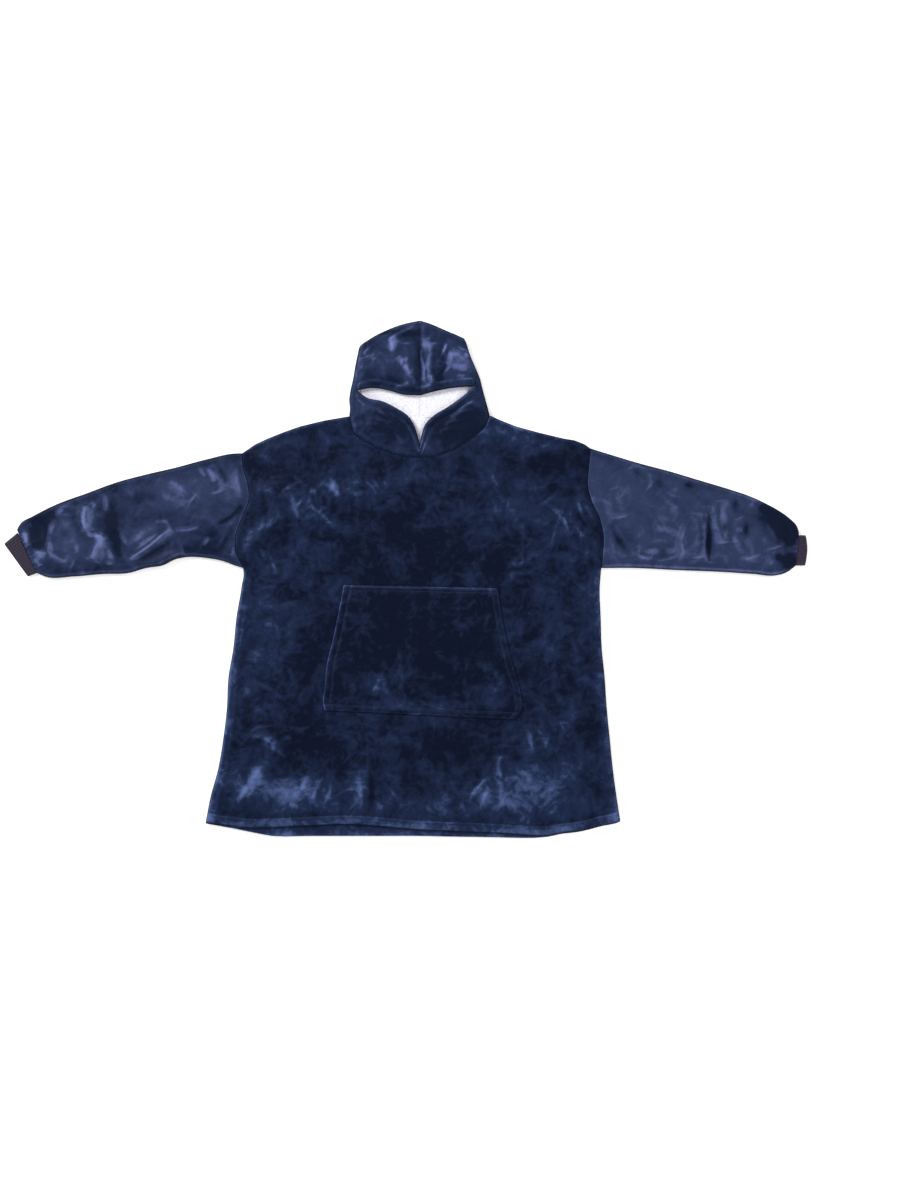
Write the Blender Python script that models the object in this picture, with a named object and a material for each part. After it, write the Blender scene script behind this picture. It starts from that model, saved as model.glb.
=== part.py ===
"""A wearable blanket hoodie laid out flat with its front up, as closed walls of cloth.

Metres, +Z up. The surface it lies on is z = 0, and the origin is the middle of its outline.
Plans are drawn from the hem line (y) and the centre front line (x), -X being its left side
as seen from above, and are moved to the origin when a mesh is made.
"""

import bpy
import numpy as np


def table(names, *rows):
    """A short table of millimetres, as one array of metres for each named column."""
    return dict(zip(names.split(), np.array(rows, float).T / 1000))


# Cloth, seams and the levels of the layers that lie on each other
CLOTH = 0.0070
SEAM = 0.0003
LINING = 0.0030
RIB_CLOTH = 0.0032
POCKET_CLOTH = 0.0045
FRONT_UNDER = CLOTH + SEAM
FRONT_TOP = FRONT_UNDER + CLOTH
HOOD_UNDER = CLOTH + 2 * SEAM + LINING
FOLD_SLACK = 0.0020
SLANT_GAP = 1.4 * SEAM
CUFF_GAP = 1.5 * SEAM
LINING_GAP = 1.6 * SEAM
EDGE_FADE = 0.030
UNDER_ROUND_SHARE = 0.6
TOLERANCE = 1e-6
SHARP_ANGLE = 0.6

# Middle of the outline, from the hem line and the centre front line
CENTRE_X = -0.0250
CENTRE_Y = 0.5175

# Body outline
CENTRE_FRONT = 0.004
ARMPIT = 0.540
SHOULDER_END = 0.770
NECK_LEFT = -0.138
NECK_RIGHT = 0.144
NECK_DROP = 0.009
BACK_NECK = 0.838
NECK_CORNER = (0.8, 1.2)
SIDES = table(
    "y left right",
    (28, -426, 406),
    (80, -416, 398),
    (140, -400, 390),
    (200, -390, 384),
    (260, -383, 378),
    (320, -380, 374),
    (380, -370, 368),
    (440, -364, 366),
    (500, -354, 364),
    (540, -350, 367),
    (567, -362.5, 369),
    (600, -365, 371),
    (637, -354, 364),
    (677, -338, 346),
    (706, -340, 339),
    (738, -349, 341),
    (770, -352, 344),
    (780, -352, 345),
)
HEM = table(
    "x back front",
    (-426, 28, 31),
    (-380, 20, 25),
    (-340, 12, 20),
    (-292, 3, 21),
    (-222, 3, 24),
    (-148, 3, 27),
    (-75, 3, 23),
    (4, 3, 16),
    (52, 2, 14),
    (169, 0, 9),
    (212, -1, 6),
    (258, 1, 5),
    (292, 8, 11),
    (328, 12, 15),
    (364, 22, 25),
    (396, 28, 31),
    (406, 32, 35),
)
SHOULDERS = table(
    "x y",
    (-352, 770),
    (-326, 788),
    (-300, 800),
    (-270, 812),
    (-236, 824),
    (-186, 836),
    (-138, 844),
    (144, 846),
    (166, 836),
    (196, 824),
    (240, 812),
    (290, 800),
    (314, 796),
    (334, 788),
    (345, 780),
)
NECKLINE = table(
    "x y",
    (-129, 806),
    (-115, 797),
    (-87, 782),
    (-45, 766),
    (4, 760),
    (50, 767),
    (90, 786),
    (115, 804),
    (135, 822),
)

# Turned hem and the rounding of free edges
HEM_DEPTH = 0.019
HEM_ROLL = 0.0012
STITCH_SINK = 0.0016
STITCH_WIDTH = 0.0030
EDGE_RADIUS = 0.0080
EDGE_DROP = 0.0056
SEAM_DIP = 0.0024
SEAM_REACH = 0.011
NECK_DIP = 0.0008
SEWN_RUN = 0.020
SEWN_MARGIN = 0.005
HEM_EDGE_SHARE = 0.6
BACK_EDGE_SHARE = 0.8
HEM_FADE = 0.30
TOP_FADE = 0.56

# Largest folds of the front: ridges are up, troughs are down
BODY_FOLDS = table(
    "x0 y0 x1 y1 bow width height",
    (-320, 690, -262, 700, 6, 14, 3.5),
    (-270, 695, -222, 650, 8, 15, 5.4),
    (-235, 672, -160, 606, -10, 16, 5.8),
    (-190, 714, -140, 672, 6, 14, 4.8),
    (-150, 696, -80, 688, 8, 14, 3.8),
    (-345, 560, -262, 628, 14, 18, 5.8),
    (-330, 520, -240, 560, 12, 18, -3.5),
    (-336, 212, -258, 168, 10, 16, 4.8),
    (-366, 62, -300, 152, -12, 17, 5.8),
    (-118, 136, -110, 52, 6, 15, 5.1),
    (-232, 58, -214, 150, 10, 20, -3.5),
    (-60, 48, -44, 122, -8, 18, 3.8),
    (62, 40, 80, 112, 6, 18, 3.5),
    (166, 164, 176, 106, 4, 15, 4.8),
    (200, 236, 244, 158, 10, 16, 5.1),
    (262, 52, 300, 148, -12, 20, 4.8),
    (330, 690, 372, 612, -14, 16, 5.8),
    (256, 676, 316, 602, 12, 16, 5.8),
    (358, 560, 270, 604, -14, 18, 5.4),
    (350, 520, 262, 548, 10, 18, -3.5),
    (184, 512, 240, 560, 16, 15, 4.2),
    (-262, 470, -236, 380, 12, 20, 4.2),
    (-330, 430, -282, 330, -12, 20, -3.2),
    (300, 450, 262, 340, 12, 20, 4.2),
    (330, 330, 290, 230, -10, 20, -3.2),
    (-300, 790, -215, 758, 6, 14, 4.2),
    (296, 782, 210, 748, -6, 14, 4.2),
    (-60, 722, 70, 728, -12, 16, 3.8),
    (-30, 640, 110, 600, 12, 20, -2.9),
)
BODY_SWELLS = table(
    "x y reach_x reach_y height",
    (-295, 90, 80, 60, 3.9),
    (236, 92, 90, 70, 3.9),
    (-10, 100, 120, 60, 2.1),
    (-190, 600, 110, 110, 3),
    (190, 640, 120, 100, 3.3),
    (0, 660, 100, 60, 2.4),
    (-240, 740, 90, 50, 2.7),
    (240, 740, 90, 50, 2.7),
    (-290, 300, 60, 120, 2.7),
    (290, 300, 60, 120, 2.7),
)

# Pocket: widest near its lower corners, with a slanted hand opening up each side
POCKET_SIDES = table(
    "y left right",
    (246, -187, 193),
    (258, -190, 204),
    (296, -187, 206),
    (346, -182, 192),
    (382, -173, 182),
    (434, -162, 171),
    (503, -149, 160),
)
POCKET_LEAN = -0.018
POCKET_TOP_LEAN = 0.35 * POCKET_LEAN
POCKET_CLEAR = 0.030
POCKET_CLEAR_FOOT = 0.042
POCKET_CLEAR_TOP = 0.036
POCKET_EDGE = 0.006
POCKET_ROUND = 0.0030
POCKET_CROWN = 0.0016
POCKET_HEM = 0.014
POCKET_STITCH_SHARE = 0.7

# Sleeves: outlines from the armhole to the cuff, left and right
SLEEVE_TOPS = {
    -1: table(
        "x y",
        (-352, 771.5),
        (-364, 770),
        (-424, 758),
        (-484, 742),
        (-544, 728),
        (-604, 712),
        (-664, 690),
        (-724, 668),
        (-772, 644),
        (-796, 630),
        (-803.5, 618),
    ),
    1: table(
        "x y",
        (345, 780),
        (384, 768),
        (444, 750),
        (504, 734),
        (564, 716),
        (624, 698),
        (660, 686),
        (696, 670),
        (744, 640),
        (758, 626),
        (763, 613),
    ),
}
SLEEVE_UNDERS = {
    -1: table(
        "x y",
        (-350, 540),
        (-368, 545.5),
        (-388, 553),
        (-424, 560),
        (-460, 562),
        (-484, 558),
        (-512, 545),
        (-544, 540),
        (-580, 530),
        (-630, 528),
        (-690, 523),
        (-744, 522),
        (-764, 530),
    ),
    1: table(
        "x y",
        (367, 540),
        (432, 540),
        (516, 536),
        (612, 532),
        (672, 528),
        (716, 525),
        (738, 531),
        (756, 544),
    ),
}
SLEEVE_LENGTH = 0.430
SLEEVE_WIDTH = 0.230
SLEEVE_FOLD_STEPS = np.array([0.0, 0.0015, 0.005, 0.010]) / SLEEVE_WIDTH
SLEEVE_FOLD_SHARE = 0.055
SLEEVE_ROUND = 0.010
SLEEVE_INSET = 0.036
SLEEVE_INNER_FADE = 0.020
SLEEVE_SWELL = 0.0022
SLEEVE_END_DROP = 0.0030
SLEEVE_END_REACH = 0.018
GATHER_PITCH = 0.011
GATHER_HEIGHT = 0.0009
GATHER_REACH = 0.026
SLEEVE_FOLDS = {
    -1: table(
        "x0 y0 x1 y1 bow width height",
        (-416, 744, -402, 690, 6, 13, 6.1),
        (-378, 566, -356, 606, 6, 12, 4.7),
        (-582, 556, -494, 622, 12, 15, 9.4),
        (-560, 540, -470, 578, -10, 14, 7.2),
        (-664, 668, -656, 614, -8, 14, 9),
        (-630, 606, -651, 555, 6, 14, 8.3),
        (-770, 640, -754, 596, 8, 14, -5.4),
        (-756, 576, -690, 544, 10, 14, 6.5),
        (-520, 716, -450, 676, -10, 15, 6.5),
        (-452, 640, -390, 596, 10, 16, 6.1),
        (-610, 700, -560, 646, 10, 15, -4.7),
        (-720, 660, -684, 648, 4, 12, 5.4),
    ),
    1: table(
        "x0 y0 x1 y1 bow width height",
        (578, 664, 584, 548, 10, 14, -6.1),
        (556, 650, 560, 560, 8, 14, 7.9),
        (604, 676, 612, 590, -10, 14, 7.9),
        (384, 614, 432, 566, -12, 14, -5.4),
        (440, 572, 530, 578, 10, 14, 7.6),
        (664, 668, 750, 606, 12, 14, -5.4),
        (700, 650, 716, 580, 14, 14, 7.6),
        (420, 740, 462, 700, 8, 14, 5.8),
        (390, 700, 404, 640, -6, 14, 5.8),
        (640, 640, 668, 560, -10, 14, 6.5),
        (478, 690, 530, 640, 12, 15, -4.3),
        (470, 628, 530, 606, 8, 14, 5.4),
    ),
}
SLEEVE_SWELLS = {
    -1: table(
        "x y reach_x reach_y height",
        (-702, 600, 46, 46, 6),
        (-600, 620, 60, 60, 3.6),
        (-470, 660, 70, 70, 3),
        (-770, 570, 30, 30, 3.6),
    ),
    1: table(
        "x y reach_x reach_y height",
        (690, 600, 50, 50, 5.4),
        (540, 640, 70, 60, 3.3),
        (450, 660, 70, 70, 3),
    ),
}

# Cuffs: from the sleeve seam out to the free end
CUFF_ENDS = {
    -1: table("x y", (-830, 589), (-782, 523)),
    1: table("x y", (777, 606), (780, 578), (776, 545)),
}
CUFF_SEAMS = {
    -1: table("x y", (-803.4, 611), (-764.2, 530.2)),
    1: table("x y", (763, 606), (756, 545)),
}
CUFF_RIBS = 15
CUFF_RIB_STEPS = 3
RIB_RISE = 0.0009
CUFF_CAVITY = 0.0034
CUFF_EDGE_ROLL = 0.0016
CUFF_EDGE_RUN = 0.004
CUFF_DEPTH = 0.030
CUFF_FOLD_STEP = 0.012
CUFF_RIB_START = 0.035
CUFF_ROUND = 0.0045
CUFF_INSET = 0.034

# Hood: outline from the neck to the peak, and the two edges of the face opening
HOOD_SIDES = table(
    "y left right",
    (860, -136.5, 140),
    (876, -138, 135.5),
    (896, -135.5, 130),
    (920, -130, 124),
    (944, -126, 114),
    (968, -121, 104),
    (984, -116.5, 99),
    (990, -110, 97),
)
HOOD_TOPS = {
    -1: table(
        "x y",
        (-110, 990),
        (-88, 1004),
        (-64, 1016),
        (-32, 1028),
        (4, 1036),
    ),
    1: table(
        "x y",
        (97, 990),
        (92.5, 999.5),
        (84, 1004),
        (56, 1016),
        (26, 1029),
        (4, 1036),
    ),
}
OPENING_UPPER = {
    -1: table(
        "x y",
        (-122, 895.5),
        (-95, 900),
        (-50, 893),
        (-34, 888),
        (4, 885.5),
    ),
    1: table(
        "x y",
        (112, 903.5),
        (68, 900),
        (30, 892.5),
        (4, 885.5),
    ),
}
OPENING_LOWER = {
    -1: table(
        "x y",
        (-122, 895.5),
        (-103, 881),
        (-70, 873),
        (-42, 859),
        (-21, 845),
        (-7, 824),
        (-1, 806),
        (4, 785),
    ),
    1: table(
        "x y",
        (112, 903.5),
        (89, 883),
        (58, 861),
        (32, 845),
        (15, 828),
        (8, 810),
        (4, 785),
    ),
}
HOOD_CLOTH = 0.0064
HOOD_HALF = 0.125
HOOD_MIDDLE = np.array([CENTRE_FRONT, 0.930])
FOLD_INSET = 0.0065
OPENING_TIP = 0.105
LOW_SIDE_SHARE = 0.30
LOW_SIDE_POINTS = 3
HOOD_ROUND = 0.010
HOOD_BACK_ROUND = 0.006
HOOD_FOOT_SINK = 0.0022
HOOD_FOOT_RUN = 0.014
HOOD_RISE_RUN = 0.012
HOOD_SEAM_RUN = 0.020
HOOD_SLACK_RUN = 0.020
HOOD_SLACK_START = 0.008
CHEEK_REACH = 0.024
HOOD_SWELL = 0.0030
HOOD_GROOVE = 0.0030
GROOVE_WIDTH = 0.010
OPENING_ROLL = 0.0016
OPENING_BAND = 0.017
OPENING_EDGE = 0.004
OPENING_EDGE_DROP = 0.0026
OPENING_START = 0.01
HOOD_FOLDS = table(
    "x0 y0 x1 y1 bow width height",
    (-22, 990, -16, 896, 4, 11, 6.3),
    (36, 990, 30, 896, -4, 11, 6.3),
    (-100, 978, -52, 918, 8, 13, 4.5),
    (-60, 1008, -40, 950, 6, 13, 3.7),
    (92, 978, 64, 916, -8, 13, 4.5),
    (60, 1006, 50, 950, -6, 13, -3),
    (-114, 960, -108, 912, 4, 12, 3.2),
    (72, 836, 118, 866, 4, 9, 3.7),
    (56, 824, 112, 846, 4, 9, 3.5),
    (44, 808, 108, 824, 4, 9, 3),
    (-62, 836, -112, 856, -4, 10, 3),
    (-50, 812, -104, 826, -4, 10, 2.8),
)

# Pile lining where it shows through the face opening
HOOD_LINING_SIDE = {-1: -0.116, 1: 0.100}
HOOD_LINING_LOW = 0.852
HOOD_LINING_TIP = 0.916
HOOD_LINING_TOP = 0.930
BACK_LINING = table("x y", (-42, 780), (50, 837.5))
LINING_PUFF = 0.0006
LINING_EDGE_SHARE = 0.1


def smooth_step(value):
    value = np.clip(value, 0.0, 1.0)
    return value * value * (3.0 - 2.0 * value)


def read_curve(keys, values, at):
    """A smooth curve through the values at the keys, read at any place."""
    slopes = np.gradient(values, keys)
    at = np.clip(at, keys[0], keys[-1])
    index = np.clip(np.searchsorted(keys, at, side="right") - 1, 0, len(keys) - 2)
    span = keys[index + 1] - keys[index]
    part = (at - keys[index]) / span
    start = values[index] * (1 + 2 * part) * (1 - part) ** 2
    start += slopes[index] * span * part * (1 - part) ** 2
    end = values[index + 1] * part**2 * (3 - 2 * part)
    end += slopes[index + 1] * span * part**2 * (part - 1)
    return start + end


def read_line(keys, values, at):
    return np.interp(at, keys, values)


def trace(route, fractions, smooth=True):
    """Points at fractions of the length of a route, a table with x and y."""
    steps = np.hypot(np.diff(route["x"]), np.diff(route["y"]))
    length = np.concatenate([[0.0], np.cumsum(steps)])
    read = read_curve if smooth and len(length) > 2 else read_line
    at = np.asarray(fractions) * length[-1]
    return np.stack([read(length, route["x"], at), read(length, route["y"], at)], axis=-1)


def patch_between(bottom, top, left, right, across, along):
    """Plan points between four traced edges: across runs left to right, along bottom to top."""
    s = np.asarray(across)[None, :, None]
    t = np.asarray(along)[:, None, None]
    low = bottom(across)[None, :, :]
    high = top(across)[None, :, :]
    near = left(along)[:, None, :]
    far = right(along)[:, None, :]
    ends = np.array([0.0, 1.0])
    low_ends = bottom(ends)
    high_ends = top(ends)
    corners = (1 - t) * ((1 - s) * low_ends[0] + s * low_ends[1])
    corners = corners + t * ((1 - s) * high_ends[0] + s * high_ends[1])
    return (1 - t) * low + t * high + (1 - s) * near + s * far - corners


def fold_relief(folds, x, y):
    """Height of soft ridges and troughs along bowed lines."""
    relief = np.zeros_like(x)
    for x0, y0, x1, y1, bow, width, height in zip(*folds.values()):
        run = np.array([x1 - x0, y1 - y0])
        length = np.hypot(*run)
        part = np.clip(((x - x0) * run[0] + (y - y0) * run[1]) / length**2, 0.0, 1.0)
        swing = bow * 4.0 * part * (1.0 - part)
        middle_x = x0 + part * run[0] - swing * run[1] / length
        middle_y = y0 + part * run[1] + swing * run[0] / length
        away = np.hypot(x - middle_x, y - middle_y) / width
        relief += height * np.sqrt(np.sin(np.pi * part)) * np.exp(-(away**2))
    return relief


def swell_relief(swells, x, y):
    """Height of broad soft mounds."""
    relief = np.zeros_like(x)
    for middle_x, middle_y, reach_x, reach_y, height in zip(*swells.values()):
        away = ((x - middle_x) / reach_x) ** 2 + ((y - middle_y) / reach_y) ** 2
        relief += height * np.exp(-away)
    return relief


def edge_drop(distance, radius, drop):
    """How far a rounded edge lies below the surface, at a distance in from the edge."""
    part = np.clip(distance / radius, 0.0, 1.0)
    return drop * (1.0 - np.sqrt(np.clip(1.0 - (1.0 - part) ** 2, 0.0, 1.0)))


def stitch_sink(distance, at):
    """Trough that a row of topstitching pulls into the cloth."""
    return STITCH_SINK * np.exp(-(((distance - at) / STITCH_WIDTH) ** 2))


def new_material(name, colour, roughness, sheen):
    material = bpy.data.materials.new(name)
    material.use_nodes = True
    shader = material.node_tree.nodes["Principled BSDF"]
    shader.inputs["Base Color"].default_value = (*colour, 1.0)
    shader.inputs["Roughness"].default_value = roughness
    shader.inputs["Metallic"].default_value = 0.0
    shader.inputs["Sheen Weight"].default_value = sheen
    return material


def cloth_wall(name, patches, material):
    """One closed wall from patches of outer points and inner points that share their edges."""
    outer_points = []
    inner_points = []
    places = {}
    faces = []

    def place(outer, inner):
        key = tuple(np.round(np.concatenate([outer, inner]), 6))
        if key not in places:
            places[key] = len(outer_points)
            outer_points.append(outer)
            inner_points.append(inner)
        return places[key]

    for outer, inner, faces_up in patches:
        rows, columns = outer.shape[:2]
        index = [[place(outer[j, i], inner[j, i]) for i in range(columns)] for j in range(rows)]
        for j in range(rows - 1):
            for i in range(columns - 1):
                face = [index[j][i], index[j][i + 1], index[j + 1][i + 1], index[j + 1][i]]
                face = list(dict.fromkeys(face))
                if len(face) > 2:
                    faces.append(face if faces_up else face[::-1])

    count = len(outer_points)
    edges = {}
    for face in faces:
        for start, end in zip(face, face[1:] + face[:1]):
            edges[(start, end)] = True
    rim = [(start, end) for start, end in edges if (end, start) not in edges]
    walls = [[end, start, start + count, end + count] for start, end in rim]
    inside = [[point + count for point in reversed(face)] for face in faces]
    points = np.array(outer_points + inner_points)
    points[:, 0] -= CENTRE_X
    points[:, 1] -= CENTRE_Y

    mesh = bpy.data.meshes.new(name)
    mesh.from_pydata(points.tolist(), [], faces + inside + walls)
    mesh.materials.append(material)
    mesh.validate()
    mesh.shade_smooth()
    mesh.set_sharp_from_angle(angle=SHARP_ANGLE)
    piece = bpy.data.objects.new(name, mesh)
    bpy.context.scene.collection.objects.link(piece)
    return piece


def stand(plan, heights):
    """Plan points raised to their heights."""
    return np.concatenate([plan, heights[..., None]], axis=-1)


def spread(*stops):
    """Places from runs of (start, end, steps), each run sharing its end with the next."""
    places = [stops[0][0]]
    for start, end, steps in stops:
        places.extend(np.linspace(start, end, int(steps) + 1)[1:])
    return np.array(places)


# Stations across the body, at its top edge, and rows up it
STATIONS = spread(
    (-0.352, -0.350, 1),
    (-0.350, -0.345, 1),
    (-0.345, NECK_LEFT, 9),
    (NECK_LEFT, NECK_LEFT + NECK_DROP, 1),
    (NECK_LEFT + NECK_DROP, CENTRE_FRONT, 6),
    (CENTRE_FRONT, NECK_RIGHT - NECK_DROP, 6),
    (NECK_RIGHT - NECK_DROP, NECK_RIGHT, 1),
    (NECK_RIGHT, 0.338, 8),
    (0.338, 0.343, 1),
    (0.343, 0.345, 1),
)
ROWS = spread(
    (0.0, 0.003, 1),
    (0.003, 0.010, 1),
    (0.010, HEM_DEPTH - 0.003, 1),
    (HEM_DEPTH - 0.003, HEM_DEPTH + 0.003, 2),
    (HEM_DEPTH + 0.003, 0.032, 1),
    (0.032, ARMPIT, 18),
    (ARMPIT, 0.748, 9),
    (0.748, 0.762, 1),
    (0.762, 0.767, 1),
    (0.767, SHOULDER_END, 1),
)

# Shares of the way across and along the other pieces
POCKET_HEIGHTS = spread(
    (0.0, 0.012, 1),
    (0.012, 0.05, 1),
    (0.05, 0.93, 9),
    (0.93, 0.97, 1),
    (0.97, 1.0, 2),
)
POCKET_PARTS = spread(
    (0.0, 0.010, 1),
    (0.010, 0.060, 2),
    (0.060, 0.940, 10),
    (0.940, 0.990, 2),
    (0.990, 1.0, 1),
)
SLEEVE_RUNS = spread(
    (0.0, 0.010, 1),
    (0.010, 0.035, 1),
    (0.035, 0.92, 16),
    (0.92, 0.965, 2),
    (0.965, 1.0, 3),
)
CUFF_RUNS = np.array([0.0, 0.5, 0.85, 0.95, 1.0])
HOOD_PARTS = spread(
    (0.0, 0.012, 1),
    (0.012, 0.040, 1),
    (0.040, OPENING_TIP, 1),
    (OPENING_TIP, 0.86, 8),
    (0.86, 1.0, 3),
)
CHEEK_RUNS = spread((0.0, 0.10, 1), (0.10, 0.60, 3), (0.60, 0.86, 2), (0.86, 1.0, 2))
CROWN_RUNS = spread(
    (0.0, 0.03, 1),
    (0.03, 0.10, 1),
    (0.10, 0.16, 2),
    (0.16, 0.90, 6),
    (0.90, 0.97, 2),
    (0.97, 1.0, 1),
)
LINING_PARTS = spread((0.0, 0.1, 1), (0.1, 0.9, 4), (0.9, 1.0, 1))


def top_edge(x, front):
    """Shoulder line and neckline over the station x of the front or the back."""
    shoulder = read_line(SHOULDERS["x"], SHOULDERS["y"], x)
    if front:
        neck = read_curve(NECKLINE["x"], NECKLINE["y"], x)
    else:
        neck = np.full_like(x, BACK_NECK)
    inside = (x > NECK_LEFT + NECK_DROP / 2) & (x < NECK_RIGHT - NECK_DROP / 2)
    return np.where(inside, neck, shoulder)


def body_plan(front):
    """Plan points of the front or the back panel, from the hem up, and from left to right."""
    part = (STATIONS - STATIONS[0]) / (STATIONS[-1] - STATIONS[0])
    hem_x = SIDES["left"][0] + part * (SIDES["right"][0] - SIDES["left"][0])
    hem = read_curve(HEM["x"], HEM["front" if front else "back"], hem_x)
    top = top_edge(STATIONS, front)
    rows = ROWS[:, None]
    low = np.clip(1.0 - rows / HEM_FADE, 0.0, 1.0) ** 2
    high = np.clip((rows - TOP_FADE) / (SHOULDER_END - TOP_FADE), 0.0, 1.0) ** 2
    y = rows + hem[None, :] * low + (top[None, :] - SHOULDER_END) * high
    left = read_curve(SIDES["y"], SIDES["left"], y[:, :1])
    right = read_curve(SIDES["y"], SIDES["right"], y[:, -1:])
    x = left + part[None, :] * (right - left)
    return np.stack([x, y], axis=-1), hem, top


def pocket_mask(x, y):
    """0 under the pocket and 1 clear of it, so that it lies on a plain stretch of the front."""
    left = read_line(POCKET_SIDES["y"], POCKET_SIDES["left"], y) - POCKET_CLEAR
    right = read_line(POCKET_SIDES["y"], POCKET_SIDES["right"], y) + POCKET_CLEAR
    bottom = POCKET_SIDES["y"][0] - POCKET_CLEAR_FOOT
    top = POCKET_SIDES["y"][-1] + POCKET_CLEAR_TOP
    outside = np.maximum(np.maximum(left - x, x - right), np.maximum(bottom - y, y - top))
    return smooth_step(outside / EDGE_FADE)


def edge_distances(x, y, hem, top):
    """Distance in from each side, from the hem and from the top edge."""
    left = x - x[:, :1]
    right = x[:, -1:] - x
    return np.minimum(left, right), y - hem[None, :], top[None, :] - y


def build_front(material):
    plan, hem, top = body_plan(front=True)
    x, y = plan[..., 0], plan[..., 1]
    side, above_hem, below_top = edge_distances(x, y, hem, top)
    on_neck = (x > NECK_LEFT) & (x < NECK_RIGHT)
    clear = smooth_step(np.minimum(np.minimum(side, above_hem), below_top) / EDGE_FADE)
    relief = fold_relief(BODY_FOLDS, x, y) + swell_relief(BODY_SWELLS, x, y)
    relief = relief * clear * pocket_mask(x, y)
    sewn = smooth_step((y - ARMPIT) / SEWN_RUN + 0.5)
    rim = edge_drop(side, EDGE_RADIUS, EDGE_DROP) * (1 - sewn)
    rim = rim + edge_drop(side, SEAM_REACH, SEAM_DIP) * sewn
    shoulder = edge_drop(below_top, EDGE_RADIUS, EDGE_DROP)
    neck = edge_drop(below_top, SEAM_REACH, NECK_DIP)
    rim = np.maximum(rim, np.where(on_neck, neck, shoulder))
    rim = np.maximum(rim, edge_drop(above_hem, EDGE_RADIUS, EDGE_DROP * HEM_EDGE_SHARE))
    roll = HEM_ROLL * np.sin(np.pi * np.clip(above_hem / HEM_DEPTH, 0.0, 1.0))
    outer = FRONT_TOP + relief + roll - rim - stitch_sink(above_hem, HEM_DEPTH)
    inner = FRONT_UNDER + np.maximum(relief - FOLD_SLACK, 0.0)
    return cloth_wall("front_panel", [(stand(plan, outer), stand(plan, inner), True)], material)


def build_back(material):
    plan, hem, top = body_plan(front=False)
    x, y = plan[..., 0], plan[..., 1]
    side, above_hem, below_top = edge_distances(x, y, hem, top)
    free_side = side + np.where(y > ARMPIT - SEWN_MARGIN, 1.0, 0.0)
    on_neck = (x > NECK_LEFT) & (x < NECK_RIGHT)
    free_top = below_top + np.where(on_neck, 1.0, 0.0)
    nearest = np.minimum(np.minimum(free_side, free_top), above_hem)
    outer = edge_drop(nearest, EDGE_RADIUS, EDGE_DROP * BACK_EDGE_SHARE)
    inner = np.full_like(x, CLOTH)
    return cloth_wall("back_panel", [(stand(plan, outer), stand(plan, inner), False)], material)


def build_pocket(material):
    height, across = POCKET_HEIGHTS, POCKET_PARTS
    foot, tall = POCKET_SIDES["y"][0], POCKET_SIDES["y"][-1] - POCKET_SIDES["y"][0]
    rows = foot + height * tall
    left = read_curve(POCKET_SIDES["y"], POCKET_SIDES["left"], rows)[:, None]
    right = read_curve(POCKET_SIDES["y"], POCKET_SIDES["right"], rows)[:, None]
    x = left + across[None, :] * (right - left)
    lean = POCKET_LEAN + (POCKET_TOP_LEAN - POCKET_LEAN) * height[:, None]
    y = rows[:, None] + lean * (across[None, :] - 0.5)
    side = np.minimum(x - left, right - x)
    nearest = np.minimum(side, np.minimum(height, 1 - height)[:, None] * tall)
    centre_x = (x - (left + right) / 2) / ((right - left) / 2)
    crown = POCKET_CROWN * np.clip(1.0 - centre_x**2, 0.0, 1.0) * np.sin(np.pi * height)[:, None]
    outer = FRONT_TOP + SEAM + POCKET_CLOTH + crown - edge_drop(nearest, POCKET_EDGE, POCKET_ROUND)
    outer = outer - POCKET_STITCH_SHARE * stitch_sink(nearest, POCKET_HEM)
    inner = np.full_like(x, FRONT_TOP + SEAM)
    plan = np.stack([x, y], axis=-1)
    return cloth_wall("pocket", [(stand(plan, outer), stand(plan, inner), True)], material)


def armhole(side):
    """The body's armhole edge from the armpit up, moved out by the seam's gap."""
    plan, _, _ = body_plan(front=True)
    edge = plan[:, 0 if side < 0 else -1]
    edge = edge[ROWS >= ARMPIT - TOLERANCE]
    return {"x": edge[:, 0] + side * SLANT_GAP, "y": edge[:, 1]}


def tube_patches(plan_at, across, along, top_height, inner_top, levels, rounding, inset, faces_up):
    """Upper and lower patches of a flat tube whose long edges are folds.

    The levels are those of its fold and of the inner side of its lower layer.
    """
    fold_height, inner_under = levels
    plan = plan_at(across, along)
    width = np.hypot(*(plan[:, -1] - plan[:, 0]).T)[:, None]
    part = across[None, :]
    edge = np.minimum(part, 1 - part) * width
    shift = np.maximum(inset - np.minimum(across, 1 - across) / 2, 0.0)
    inner_plan = plan_at(across + np.where(across < 0.5, shift, -shift), along)
    is_fold = (part <= 0) | (part >= 1)
    top = top_height(plan)
    top = top - edge_drop(edge, rounding, 1.0) * (top - fold_height)
    under = edge_drop(edge, rounding * UNDER_ROUND_SHARE, fold_height)
    inner_high = np.where(is_fold, fold_height, inner_top(plan, edge))
    inner_low = np.where(is_fold, fold_height, inner_under) + np.zeros_like(inner_high)
    return [
        (stand(plan, top), stand(inner_plan, inner_high), faces_up),
        (stand(plan, under), stand(inner_plan, inner_low), not faces_up),
    ]


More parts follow.
